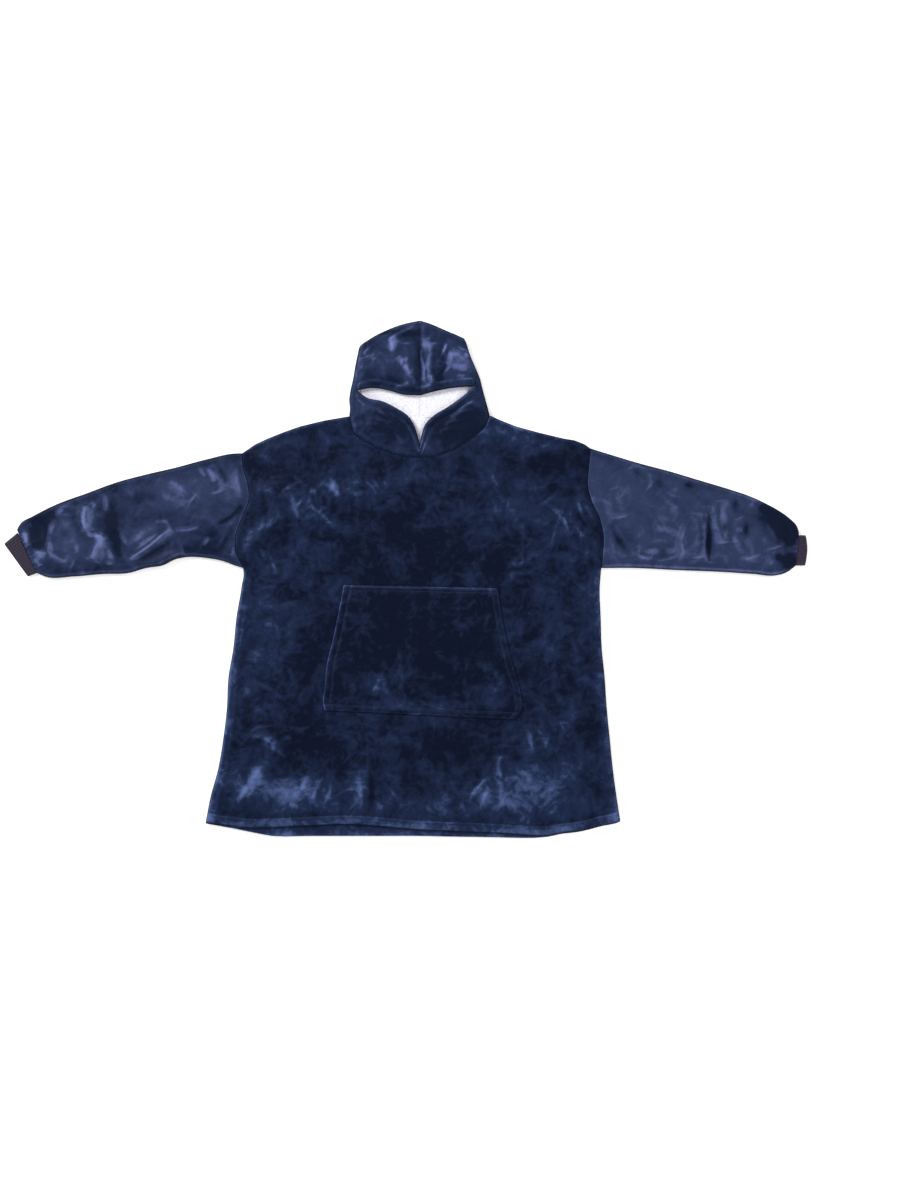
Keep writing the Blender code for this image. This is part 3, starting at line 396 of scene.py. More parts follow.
# Their size and seed, coarse and fine, with the fine ones' share where both lie on one piece
BODY_WRINKLES = ((0.046, 11), (0.027, 23), 0.7)
POCKET_WRINKLES = ((0.034, 47), (0.019, 53), 0.6)
SLEEVE_WRINKLES = {-1: ((0.040, 60), (0.022, 66), 0.5), 1: ((0.040, 62), (0.022, 68), 0.5)}
HOOD_WRINKLES = ((0.024, 83), (0.013, 89), 0.5)
BODY_FINEST = (0.015, 37)
BACK_DENTS = (0.060, 71)
BACK_BRUSHED = (0.034, 31)
BACK_FOLD_SHARE = 0.5
HOOD_BACK_DENTS = (0.030, 97)

# Form of a wrinkle, in sizes of its own: its bends, the patches it comes in, and its sharpness
WRINKLE_BEND = 0.45
WRINKLE_BEND_SPAN = 2.2
WRINKLE_PATCH_SPAN = 3.1
WRINKLE_PATCH_CONTRAST = 0.9
WRINKLE_SHARPNESS = 5

# Where the body's wrinkles crowd, over the even amount
CRUSH_EVEN = 0.35
CRUSH_MOST = 1.6
BODY_CRUSH = table(
    "x y reach_x reach_y share",
    (-180, 90, 80, 50, 0.8),
    (-250, 165, 50, 36, 0.8),
    (-190, 130, 40, 50, 0.5),
    (130, 90, 80, 50, 0.7),
    (0, 80, 80, 40, 0.4),
    (-200, 660, 110, 60, 0.6),
    (220, 540, 50, 60, 0.8),
    (320, 640, 50, 60, 0.6),
    (-300, 200, 60, 50, 0.5),
    (260, 220, 60, 60, 0.4),
    (-290, 540, 40, 50, 0.7),
    (0, 600, 120, 60, -0.25),
)

# Pocket: widest near its lower corners, with a slanted hand opening up each side
POCKET_SIDES = table(
    "y left right",
    (246, -187, 193),
    (258, -190, 204),
    (296, -187, 206),
    (346, -182, 192),
    (382, -173, 182),
    (434, -162, 171),
    (503, -149, 160),
)
POCKET_FOOT = POCKET_SIDES["y"][0]
POCKET_TALL = POCKET_SIDES["y"][-1] - POCKET_SIDES["y"][0]
POCKET_LEAN = -0.018
POCKET_LEAN_FADE = 0.65
POCKET_CLEAR = 0.012
POCKET_CLEAR_FOOT = 0.012
POCKET_CLEAR_TOP = 0.006
POCKET_EDGE_RADIUS = 0.005
POCKET_ROUND = 0.0030
POCKET_CROWN = 0.0016
POCKET_FADE = 0.020
POCKET_SIDE_HEM = 0.014
POCKET_FOOT_HEM = 0.013
POCKET_TOP_ROWS = (0.003, 0.010)

# Rows of stitches on the pocket: the shares at which they start and end, and their points
POCKET_ROW_SPAN = (0.02, 0.98, 120)
POCKET_SIDE_SPAN = (0.05, 0.96, 90)
POCKET_CREASES = table(
    "x0 y0 x1 y1 bow width height",
    (-110, 330, -60, 300, 8, 6, 1),
    (-90, 300, -52, 284, 6, 5, 0.9),
    (-140, 420, -128, 360, 6, 6, 1),
    (60, 440, 120, 420, -6, 6, 0.8),
    (120, 350, 140, 310, 6, 6, 1),
    (-20, 290, 40, 276, 6, 6, 0.8),
    (20, 390, 50, 350, 6, 6, 0.7),
    (150, 290, 176, 330, -4, 5, 1),
)
# Patches lighter or darker than the pocket's even tone: the nap's own, and painted highlights over its
# creases and along its foot
POCKET_NAP_AND_PAINTED_LIGHT = table(
    "x y reach_x reach_y share",
    (-78, 310, 50, 26, 0.34),
    (10, 268, 150, 12, 0.24),
    (130, 296, 40, 26, 0.20),
    (-20, 400, 100, 70, -0.14),
)
POCKET_SHADE = -0.17

# Sleeves: outlines from the armhole to the cuff, left and right
SLEEVE_TOPS = {
    -1: table(
        "x y",
        (-352, 771.5),
        (-364, 770),
        (-424, 758),
        (-484, 742),
        (-544, 728),
        (-604, 712),
        (-664, 690),
        (-724, 668),
        (-772, 644),
        (-796, 630),
        (-803.5, 618),
    ),
    1: table(
        "x y",
        (345, 780),
        (384, 768),
        (444, 750),
        (504, 734),
        (564, 716),
        (624, 698),
        (660, 686),
        (696, 670),
        (744, 640),
        (758, 626),
        (763, 613),
    ),
}
SLEEVE_UNDERS = {
    -1: table(
        "x y",
        (-350, 540),
        (-368, 545.5),
        (-388, 553),
        (-424, 560),
        (-460, 562),
        (-484, 558),
        (-512, 545),
        (-544, 540),
        (-580, 530),
        (-630, 528),
        (-690, 523),
        (-744, 522),
        (-764, 530),
    ),
    1: table(
        "x y",
        (367, 540),
        (432, 540),
        (516, 536),
        (612, 532),
        (672, 528),
        (716, 525),
        (738, 531),
        (756, 544),
    ),
}
SLEEVE_LENGTH = 0.430
SLEEVE_WIDTH = 0.230
SLEEVE_SWELL = 0.0022
SLEEVE_ROUND = 0.010
SLEEVE_FOLD_INSET = 0.036
SLEEVE_INNER_FADE = 0.020
SLEEVE_END_DROP = 0.0030
SLEEVE_END_REACH = 0.018
CREASE_FADE_AT_ARMHOLE = 0.012
CREASE_FADE_AT_CUFF = 0.016
GATHER_PITCH = 0.011
GATHER_HEIGHT = 0.0009
GATHER_REACH = 0.026
GATHER_UNDER = 0.0007
# Gathers painted lighter on their ridges and darker between them, as painted light
GATHER_PAINTED_LIGHT = 0.10
GATHER_WOBBLE = 0.002
GATHER_WOBBLE_SPAN = 0.0043
SLEEVE_FOLDS = {
    -1: table(
        "x0 y0 x1 y1 bow width height",
        (-416, 744, -402, 690, 6, 13, 6.1),
        (-378, 566, -356, 606, 6, 12, 4.7),
        (-582, 556, -494, 622, 12, 15, 9.4),
        (-560, 540, -470, 578, -10, 14, 7.2),
        (-664, 668, -656, 614, -8, 14, 9),
        (-630, 606, -651, 555, 6, 14, 8.3),
        (-770, 640, -754, 596, 8, 14, -5.4),
        (-756, 576, -690, 544, 10, 14, 6.5),
        (-520, 716, -450, 676, -10, 15, 6.5),
        (-452, 640, -390, 596, 10, 16, 6.1),
        (-610, 700, -560, 646, 10, 15, -4.7),
        (-720, 660, -684, 648, 4, 12, 5.4),
    ),
    1: table(
        "x0 y0 x1 y1 bow width height",
        (578, 664, 584, 548, 10, 14, -6.1),
        (556, 650, 560, 560, 8, 14, 7.9),
        (604, 676, 612, 590, -10, 14, 7.9),
        (384, 614, 432, 566, -12, 14, -5.4),
        (440, 572, 530, 578, 10, 14, 7.6),
        (664, 668, 750, 606, 12, 14, -5.4),
        (700, 650, 716, 580, 14, 14, 7.6),
        (420, 740, 462, 700, 8, 14, 5.8),
        (390, 700, 404, 640, -6, 14, 5.8),
        (640, 640, 668, 560, -10, 14, 6.5),
        (478, 690, 530, 640, 12, 15, -4.3),
        (470, 628, 530, 606, 8, 14, 5.4),
    ),
}
SLEEVE_SWELLS = {
    -1: table(
        "x y reach_x reach_y height",
        (-702, 600, 46, 46, 6),
        (-600, 620, 60, 60, 3.6),
        (-470, 660, 70, 70, 3),
        (-770, 570, 30, 30, 3.6),
    ),
    1: table(
        "x y reach_x reach_y height",
        (690, 600, 50, 50, 5.4),
        (540, 640, 70, 60, 3.3),
        (450, 660, 70, 70, 3),
    ),
}
SLEEVE_CREASES = {
    -1: table(
        "x0 y0 x1 y1 bow width height",
        (-724, 638, -738, 596, -3, 5, 3.4),
        (-738, 602, -726, 560, -3, 5.5, 3.4),
        (-724, 642, -700, 664, 4, 4, 2.4),
        (-690, 660, -676, 640, 4, 5, 1.4),
        (-728, 566, -700, 556, -2, 5, 2),
        (-664, 666, -663, 612, -2, 4.5, 4.4),
        (-662, 613, -646, 604, -2, 4, 3.6),
        (-648, 604, -630, 607, -2, 5, 3.6),
        (-629, 608, -640, 580, 2, 6, 3.8),
        (-640, 584, -654, 556, 1, 5.5, 3.8),
        (-627, 688, -625, 654, 1, 4.5, 3.2),
        (-654, 672, -646, 664, 0, 5, 2.4),
        (-577, 558, -496, 619, -4, 3.5, 5),
        (-566, 552, -486, 604, -5, 7, -2),
        (-524, 630, -500, 632, 1, 3.5, 3),
        (-594, 611, -574, 585, -3, 3.5, 2.6),
        (-626, 551, -605, 551, 0, 3.5, 2.4),
        (-622, 578, -608, 554, 0, 4, 2.2),
        (-486, 617, -437, 624, -2, 4, 2.6),
        (-422, 740, -404, 713, 1, 4, 3.6),
        (-439, 740, -423, 723, 1, 4, 2.6),
        (-402, 744, -385, 710, 1, 6, -2.8),
        (-430, 586, -417, 604, 0, 3.5, 2.8),
        (-374, 564, -357, 601, 1, 3.5, 4),
        (-366, 740, -356, 678, -3, 6, 2),
        (-354, 670, -408, 626, 8, 8, -3.2),
        (-358, 652, -396, 622, 6, 3.5, 2),
        (-789, 614, -776, 586, -3, 5, 3),
        (-768, 575, -741, 573, -3, 5, 3.4),
        (-764, 562, -752, 546, -2, 5, 2),
        (-690, 600, -684, 570, 3, 5, 1.2),
        (-548, 676, -520, 656, 3, 5, 1.2),
        (-500, 712, -470, 690, 3, 6, 1.2),
        (-590, 700, -566, 684, 2, 6, 1.2),
        (-520, 560, -470, 572, 2, 5, 1.4),
        (-606, 616, -600, 560, 2, 8, -2.2),
    ),
    1: table(
        "x0 y0 x1 y1 bow width height",
        (582, 650, 583, 606, -1, 4, -3.6),
        (583, 612, 582, 552, -1, 5, -4.4),
        (384, 632, 424, 574, -5, 8, -2.6),
        (396, 626, 430, 586, -3, 5, 1),
        (426, 575, 470, 560, -3, 4, 2),
        (468, 559, 520, 568, -4, 4, 1.6),
        (690, 648, 722, 594, -3, 5, 2),
        (722, 592, 726, 566, 0, 5, 1.6),
        (640, 622, 648, 604, -3, 4, 1.8),
        (628, 600, 640, 594, 0, 4, 1.4),
        (470, 724, 486, 706, 2, 6, 0.6),
        (400, 706, 416, 676, 3, 8, 0.8),
        (500, 668, 522, 640, 3, 8, 0.6),
        (612, 672, 622, 650, 2, 6, 0.8),
        (660, 668, 676, 650, 2, 6, 0.8),
        (640, 566, 676, 552, 2, 6, 1),
        (690, 566, 706, 548, 2, 5, 1.2),
    ),
}
# Patches lighter or darker than each sleeve's even tone: the nap's own, and painted light, with painted
# highlights on the puffs and painted shade in creases and dimples
SLEEVE_NAP_AND_PAINTED_LIGHT = {
    -1: table(
        "x y reach_x reach_y share",
        (-706, 606, 26, 36, 0.30),
        (-705, 609, 9, 9, -0.34),
        (-638, 592, 12, 18, 0.20),
        (-548, 600, 22, 12, 0.26),
        (-616, 562, 8, 12, 0.34),
        (-474, 694, 80, 34, 0.26),
        (-376, 700, 16, 36, 0.26),
        (-756, 608, 16, 28, -0.95),
        (-750, 640, 26, 14, -0.60),
        (-783, 602, 6, 13, 0.50),
        (-755, 563, 12, 10, 0.45),
        (-610, 622, 14, 44, -0.36),
        (-556, 682, 22, 14, -0.26),
        (-610, 700, 22, 10, -0.26),
        (-682, 640, 14, 30, -0.26),
        (-400, 606, 40, 20, -0.28),
        (-440, 576, 50, 14, -0.20),
        (-660, 536, 90, 10, -0.10),
    ),
    1: table(
        "x y reach_x reach_y share",
        (583, 604, 5, 26, -0.40),
        (541, 705, 11, 7, -0.44),
        (436, 729, 6, 11, -0.26),
        (634, 668, 7, 13, -0.34),
        (654, 618, 7, 14, -0.46),
        (646, 608, 10, 5, -0.30),
        (613, 621, 6, 6, -0.34),
        (487, 574, 11, 9, -0.36),
        (484, 711, 7, 9, -0.20),
        (570, 606, 8, 40, -0.16),
        (572, 638, 9, 12, -0.36),
        (726, 606, 20, 20, -0.30),
        (746, 560, 20, 34, -0.50),
        (716, 642, 32, 22, -0.95),
        (742, 610, 22, 24, -0.95),
        (692, 660, 12, 10, -0.50),
        (720, 562, 7, 7, -0.60),
        (744, 552, 18, 14, -0.50),
        (742, 578, 8, 8, 0.24),
        (410, 596, 18, 20, -0.24),
    ),
}
# Each sleeve's even tone; how much its wrinkles are painted lighter on their ridges, a painted highlight; and
# how much of the creases' painted highlight it keeps
SLEEVE_SHADE = {-1: 0.09, 1: 0.30}
SLEEVE_WRINKLE_HIGHLIGHT = {-1: 0.16, 1: 0.06}
SLEEVE_CREASE_HIGHLIGHT = {-1: 1.0, 1: 0.45}

# Cuffs: from the sleeve seam out to the free end
CUFF_ENDS = {
    -1: table("x y", (-830, 589), (-782, 523)),
    1: table("x y", (777, 606), (780, 578), (776, 545)),
}
CUFF_SEAMS = {
    -1: table("x y", (-803.4, 611), (-764.2, 530.2)),
    1: table("x y", (763, 606), (756, 545)),
}
CUFF_RIBS = 15
POINTS_PER_RIB = 8
RIB_RISE = 0.0010
RIB_ROUNDNESS = 0.7
# Painted light: the ribs lighter on their tops and darker between them
RIB_TOP_HIGHLIGHT = 0.9
RIB_SPAN = (0.035, 0.965)
CUFF_FOLD_SHARES = np.array([0.0, 0.003, 0.008, 0.015, 0.024])
CUFF_EVEN_ROWS = (0.0, 0.86, 8)
CUFF_END_ROWS = (0.90, 0.935, 0.965, 0.985, 0.996, 1.0)
CUFF_CAVITY = 0.0034
CUFF_ROUND = 0.0045
CUFF_FOLD_INSET = 0.034
CUFF_EDGE_RADIUS = 0.004
CUFF_EDGE_ROLL = 0.0016
CUFF_DEPTH = 0.030

# Hood: outline from the neck to the peak, and the two edges of the face opening
HOOD_SIDES = table(
    "y left right",
    (860, -136.5, 140),
    (876, -138, 135.5),
    (896, -135.5, 130),
    (920, -130, 124),
    (944, -126, 114),
    (968, -121, 104),
    (984, -116.5, 99),
    (990, -110, 97),
)
HOOD_TOPS = {
    -1: table(
        "x y",
        (-110, 990),
        (-88, 1004),
        (-64, 1016),
        (-32, 1028),
        (4, 1036),
    ),
    1: table(
        "x y",
        (97, 990),
        (92.5, 999.5),
        (84, 1004),
        (56, 1016),
        (26, 1029),
        (4, 1036),
    ),
}
OPENING_UPPER = {
    -1: table(
        "x y",
        (-122, 895.5),
        (-95, 900),
        (-50, 893),
        (-34, 888),
        (4, 885.5),
    ),
    1: table(
        "x y",
        (112, 903.5),
        (68, 900),
        (30, 892.5),
        (4, 885.5),
    ),
}
OPENING_LOWER = {
    -1: table(
        "x y",
        (-122, 895.5),
        (-103, 881),
        (-70, 873),
        (-42, 859),
        (-21, 845),
        (-7, 824),
        (-1, 806),
        (4, 785),
    ),
    1: table(
        "x y",
        (112, 903.5),
        (89, 883),
        (58, 861),
        (32, 845),
        (15, 828),
        (8, 810),
        (4, 785),
    ),
}
HOOD_CLOTH = 0.0064
HOOD_HALF = 0.125
HOOD_MIDDLE = np.array([CENTRE_FRONT, 0.930])
HOOD_FOLD_LEVEL = (CLOTH + HOOD_UNDER) / 2
HOOD_ROUND = 0.010
HOOD_BACK_ROUND = 0.006
FOLD_INSET = 0.0065
LOW_SIDE_POINTS = 3
LOW_SIDE_SHARE = 0.30
CHEEK_LENGTH = 0.060
CHEEK_SHORTEST = 0.024
CHEEK_LONGEST = 0.075
CROWN_LENGTH = 0.120
CROWN_LONGEST = 0.140
HOOD_SWELL = 0.0030
HOOD_GROOVE = 0.0034
GROOVE_WIDTH = 0.008
HOOD_RISE = 0.012
HOOD_FOOT_DIP = 0.0022
HOOD_FOOT_REACH = 0.014
HOOD_FADE = 0.020
HOOD_INNER_START = 0.008
OPENING_TIP = 0.105
OPENING_TIP_FADE = 0.02
OPENING_EDGE_RADIUS = 0.0045
OPENING_EDGE_DROP = 0.0034
OPENING_ROLL = 0.0018
OPENING_BAND = 0.017
OPENING_BAND_SHARE = 0.6
OPENING_STITCH_SPAN = (OPENING_TIP + 0.05, 0.985, 70)
HOOD_FOLDS = table(
    "x0 y0 x1 y1 bow width height",
    (-22, 990, -16, 896, 4, 11, 6.3),
    (36, 990, 30, 896, -4, 11, 6.3),
    (-100, 978, -52, 918, 8, 13, 4.5),
    (-60, 1008, -40, 950, 6, 13, 3.7),
    (92, 978, 64, 916, -8, 13, 4.5),
    (60, 1006, 50, 950, -6, 13, -3),
    (-114, 960, -108, 912, 4, 12, 3.2),
    (72, 836, 118, 866, 4, 9, 3.7),
    (56, 824, 112, 846, 4, 9, 3.5),
    (44, 808, 108, 824, 4, 9, 3),
    (-62, 836, -112, 856, -4, 10, 3),
    (-50, 812, -104, 826, -4, 10, 2.8),
)
HOOD_CREASES = table(
    "x0 y0 x1 y1 bow width height",
    (-58, 994, -4, 1021, 2, 4, 2.4),
    (-52, 1000, -50, 972, 2, 5, 2.8),
    (-40, 962, -28, 944, 1, 5, 2.4),
    (-28, 946, -12, 926, 0, 5, 2.8),
    (-14, 930, -5, 902, 1, 5, 2.8),
    (-34, 954, -16, 956, -1, 4, 1.8),
    (-44, 901, -8, 910, -1, 4, 2.4),
    (7, 976, 13, 940, -1, 3, 2),
    (13, 942, 13, 916, 0, 3, 2),
    (26, 924, 32, 908, 1, 4, 2.6),
    (58, 988, 44, 958, 2, 4, 2.6),
    (44, 960, 34, 944, 1, 4, 2.2),
    (28, 940, 50, 942, 0, 3.5, 1.4),
    (94, 968, 98, 960, 0, 3.5, 2),
    (60, 966, 92, 956, 1, 5, 1.2),
    (56, 944, 100, 936, 1, 5, 1.2),
    (62, 924, 108, 918, 1, 5, 1.2),
    (-104, 958, -70, 964, 1, 5, 1),
    (-108, 938, -80, 944, 1, 5, 1),
    (60, 946, 46, 922, -2, 6, -2),
    (80, 852, 116, 872, 3, 3.2, 1.7),
    (66, 840, 112, 856, 3, 3.2, 1.7),
    (54, 826, 108, 836, 3, 3.2, 1.7),
    (46, 812, 104, 816, 3, 3.2, 1.4),
    (-66, 846, -112, 866, -3, 3.5, 1.4),
    (-50, 826, -106, 840, -3, 3.5, 1.4),
    (-60, 800, -96, 806, -2, 3.5, 1.2),
    (-40, 806, -30, 786, -1, 4, 1.6),
)
# Patches lighter or darker than the hood's even tone: the nap's own, and painted light, with painted
# highlights on fold ridges and painted shade along the centre groove and the top edge
HOOD_NAP_AND_PAINTED_LIGHT = table(
    "x y reach_x reach_y share",
    (-62, 950, 40, 30, 0.14),
    (-44, 990, 12, 12, 0.30),
    (-62, 1010, 50, 9, -0.46),
    (-96, 984, 16, 12, -0.30),
    (-60, 910, 44, 12, -0.26),
    (86, 952, 24, 30, 0.34),
    (96, 940, 16, 20, 0.16),
    (100, 968, 14, 10, 0.16),
    (18, 986, 11, 12, 0.44),
    (18, 1010, 14, 8, -0.10),
    (40, 916, 16, 12, -0.30),
    (44, 950, 12, 26, -0.20),
    (4, 950, 8, 50, -0.40),
    (4, 895, 40, 6, -0.20),
    (-60, 830, 60, 34, -0.30),
    (-100, 866, 34, 8, 0.10),
    (70, 830, 60, 40, -0.40),
)
HOOD_SHADE = 0.10

# Pile lining where it shows through the face opening
HOOD_LINING_SIDE = {-1: -0.116, 1: 0.100}
HOOD_LINING_LOW = 0.852
HOOD_LINING_TIP = 0.916
HOOD_LINING_TOP = 0.930
BACK_LINING = table("x y", (-42, 780), (50, 840.1))
LINING_SEEDS = {"hood_lining_left": 100, "hood_lining_right": 102, "back_lining": 111}
LINING_EDGE_RADIUS = 0.0025
LINING_EDGE_DROP = 0.0005

# Its lumps of pile, small curls on them, and the slow waves of the knit below
PILE_LUMP = 0.0052
PILE_HEIGHT = 0.0009
PILE_BELOW_TOP = 0.0014
CURL_SIZE = 0.45 * PILE_LUMP
CURL_SHARE = 0.3
CURL_MOST = 1.2
CURL_MEAN = 0.9
KNIT_WAVE = 0.045
KNIT_WAVE_HEIGHT = 0.0006

# Its painted shade: even, lighter on its curls and darker between them, and a painted shadow at the opening's
# ends and point, where the hood's edges shade it
PILE_SHADE = 0.6
PILE_SHADE_CURL = 0.5
PILE_SHADE_SPAN = (-0.4, 1.0)
LINING_END = 0.122
LINING_END_FADE = 0.050
LINING_END_SHADE = 0.7
LINING_POINT = 0.800
LINING_POINT_FADE = 0.030
LINING_POINT_SHADE = 0.5

# Steps of the meshes, and how many outer steps an inner one spans
PANEL_STEP = 0.0028
SLEEVE_STEP = 0.0026
HOOD_STEP = 0.0021
POCKET_STEP = 0.0022
LINING_STEP = 0.0015
UNDERSIDE_STEP = 0.0058
INNER_SKIP = 4

# Places of the closer steps, in from an edge, a fold or a seam
EDGE_RUN = (0.0, 0.0003, 0.0010, 0.0021, 0.0036, 0.0056, 0.0080)
HEM_RUN = EDGE_RUN + (0.0110, 0.0140, 0.0160, 0.0175, 0.0190, 0.0205, 0.0220, 0.0240)
POCKET_RUN = (0.0, 0.0003, 0.0009, 0.0018, 0.0030, 0.0044, 0.0060)
SLEEVE_FOLD_RUN = (0.0, 0.0003, 0.0012, 0.0026, 0.0045, 0.0070, 0.0100)
SLEEVE_END_RUN = (0.0, 0.0010, 0.0024, 0.0042, 0.0070, 0.0110)
HOOD_FOLD_RUN = np.array([0.0, 0.0003, 0.0010, 0.0022, 0.0040, 0.0065, 0.0100])
HOOD_CENTRE_RUN = np.array([0.0, 0.0006, 0.0014, 0.0026, 0.0042, 0.0060])
HOOD_FOOT_SHARES = (0.0, 0.02, 0.05)
OPENING_RUN = np.array([0.0, 0.0004, 0.0012, 0.0024, 0.0042, 0.0068])
LINING_RUN = (0.0, 0.0004, 0.0012, 0.0025)

# Painted light from the cloth's tilt: a painted highlight on gentle slopes, most on those facing the key
# lamp, and painted shade where the cloth turns away steeply
TILT_HIGHLIGHT = 2.6
TILT_HIGHLIGHT_CAP = 0.11
TILT_SHADE_START = 0.20
TILT_SHADE = 1.7
LAMP_SIDE_HIGHLIGHT = (-0.30, 0.26, 0.0)
SHARP_ANGLE = 1.1
# Creases painted lighter on their ridges and darker in their troughs, painted highlight and painted shade,
# per metre of height
CREASE_SHADE = 120.0

# Each part's plush: its name, its three colours, the size of its patches and their unevenness
PLUSHES = {
    "body": ("crushed navy plush", "plush_dark plush_middle plush_light", 0.046, 0.86),
    "sleeve": ("brushed navy plush", "sleeve_dark sleeve_middle sleeve_light", 0.050, 0.45),
    "hood": ("hood navy plush", "sleeve_dark hood_middle hood_light", 0.040, 0.50),
}

# Colour of the plush's sheen
SHEEN_CODE = "7d92cc"

# Sizes behind the patterns. Fibres are far too fine to show, so clumps of them are drawn.
FIBRE_CLUMP = 0.0016
PILE_TUFT = 0.0036
KNIT_LOOP = 0.0018
THREAD_TWIST = 0.0006
PAPER_GRAIN = 0.025

# Camera and studio
PHOTO_WIDTH_PX = 900
PHOTO_HEIGHT_PX = 1200
PHOTO_CENTRE_FRONT_PX = 418
PHOTO_HEM_PX = 838
METRES_PER_PX = 0.0020
LENS_MM = 50.0
SENSOR_MM = 36.0
CLIP_START = 0.05
CLIP_END = 30.0
GARMENT_LEVEL = 0.014
FLOOR_REACH = 6.0
FLOOR_LEVEL = -0.0004
SKY_CODE = "f4f6fb"
SKY_STRENGTH = 0.50
LAMPS = (
    ("key_softbox", (-2.7, 2.3, 3.0), 1.6, 200.0),
    ("fill_softbox", (2.6, 0.6, 3.2), 2.2, 50.0),
    ("low_softbox", (0.3, -3.0, 2.6), 2.0, 34.0),
)


def smooth_step(value):
    """0 up to 0, 1 from 1 on, and an even ease between."""
    value = np.clip(value, 0.0, 1.0)
    return value * value * (3.0 - 2.0 * value)


def read_curve(keys, values, at):
    """A smooth curve through the values at the keys, read at any place."""
    slopes = np.gradient(values, keys)
    at = np.clip(at, keys[0], keys[-1])
    index = np.clip(np.searchsorted(keys, at, side="right") - 1, 0, len(keys) - 2)
    span = keys[index + 1] - keys[index]
    part = (at - keys[index]) / span
    start = values[index] * (1 + 2 * part) * (1 - part) ** 2
    start += slopes[index] * span * part * (1 - part) ** 2
    end = values[index + 1] * part**2 * (3 - 2 * part)
    end += slopes[index + 1] * span * part**2 * (part - 1)
    return start + end


def read_line(keys, values, at):
    """Straight lines between the values at the keys, read at any place."""
    return np.interp(at, keys, values)


def trace(route, fractions, smooth=True):
    """Points at fractions of the length of a route, a table with x and y."""
    steps = np.hypot(np.diff(route["x"]), np.diff(route["y"]))
    length = np.concatenate([[0.0], np.cumsum(steps)])
    read = read_curve if smooth and len(length) > 2 else read_line
    at = np.asarray(fractions) * length[-1]
    return np.stack([read(length, route["x"], at), read(length, route["y"], at)], axis=-1)


def read_edge(edge, parts):
    """Points at shares of the length of an edge, which is a route or a function of the shares."""
    return edge(parts) if callable(edge) else trace(edge, parts)


def patch_between(bottom, top, left, right, across, along):
    """Plan points between four edges: across runs left to right, along bottom to top."""
    s = np.asarray(across)[None, :, None]
    t = np.asarray(along)[:, None, None]
    low = read_edge(bottom, across)[None, :, :]
    high = read_edge(top, across)[None, :, :]
    near = read_edge(left, along)[:, None, :]
    far = read_edge(right, along)[:, None, :]
    ends = np.array([0.0, 1.0])
    low_ends = read_edge(bottom, ends)
    high_ends = read_edge(top, ends)
    corners = (1 - t) * ((1 - s) * low_ends[0] + s * low_ends[1])
    corners = corners + t * ((1 - s) * high_ends[0] + s * high_ends[1])
    return (1 - t) * low + t * high + (1 - s) * near + s * far - corners


def straight(start, end, at=-1):
    """Straight route from a point of one route, its last unless at says so, to that of another."""
    return {key: np.array([start[key][at], end[key][at]]) for key in ("x", "y")}


def fold_relief(folds, x, y):
    """Height of soft ridges and troughs along bowed lines."""
    relief = np.zeros_like(x)
    for x0, y0, x1, y1, bow, width, height in zip(*folds.values()):
        run = np.array([x1 - x0, y1 - y0])
        length = np.hypot(*run)
        part = np.clip(((x - x0) * run[0] + (y - y0) * run[1]) / length**2, 0.0, 1.0)
        swing = bow * 4.0 * part * (1.0 - part)
        middle_x = x0 + part * run[0] - swing * run[1] / length
        middle_y = y0 + part * run[1] + swing * run[0] / length
        away = np.hypot(x - middle_x, y - middle_y) / width
        relief += height * np.sqrt(np.sin(np.pi * part)) * np.exp(-(away**2))
    return relief


def swell_relief(swells, x, y):
    """Height of broad soft mounds."""
    relief = np.zeros_like(x)
    for middle_x, middle_y, reach_x, reach_y, height in zip(*swells.values()):
        away = ((x - middle_x) / reach_x) ** 2 + ((y - middle_y) / reach_y) ** 2
        relief += height * np.exp(-away)
    return relief


def edge_drop(distance, radius, drop):
    """How far a rounded edge lies below the surface, at a distance in from the edge."""
    part = np.clip(distance / radius, 0.0, 1.0)
    return drop * (1.0 - np.sqrt(np.clip(1.0 - (1.0 - part) ** 2, 0.0, 1.0)))


def stitch_sink(distance, at, row):
    """Trough that a row of topstitching pulls into the cloth."""
    return STITCH_PULL[row] * (STITCH_SINK * np.exp(-(((distance - at) / STITCH_WIDTH) ** 2)))


def edge_band(band, distance):
    """A soft band beside an edge."""
    share, at, width = band
    return share * np.exp(-(((distance - at) / width) ** 2))


def edge_lighter_or_darker(lighter_by, distance):
    """Lighter or darker near an edge, fading with distance; at most edges this is painted light and shade."""
    share, fade = lighter_by
    return share * np.exp(-distance / fade)


def rolling(x, y, seed):
    """Smooth waves between about -1 and 1 with a period of 1, from a seeded lattice of slopes."""
    lattice = 64
    turn = np.random.default_rng(seed).uniform(0.0, 2.0 * np.pi, (lattice, lattice))
    low_x = np.floor(x).astype(int)
    low_y = np.floor(y).astype(int)
    part_x = x - low_x
    part_y = y - low_y
    corner = {}
    for step_x in (0, 1):
        for step_y in (0, 1):
            angle = turn[(low_y + step_y) % lattice, (low_x + step_x) % lattice]
            corner[step_x, step_y] = np.cos(angle) * (part_x - step_x) + np.sin(angle) * (part_y - step_y)
    ease_x = part_x**3 * (part_x * (part_x * 6 - 15) + 10)
    ease_y = part_y**3 * (part_y * (part_y * 6 - 15) + 10)
    low = corner[0, 0] * (1 - ease_x) + corner[1, 0] * ease_x
    high = corner[0, 1] * (1 - ease_x) + corner[1, 1] * ease_x
    full_height = 1.6
    return full_height * (low * (1 - ease_y) + high * ease_y)


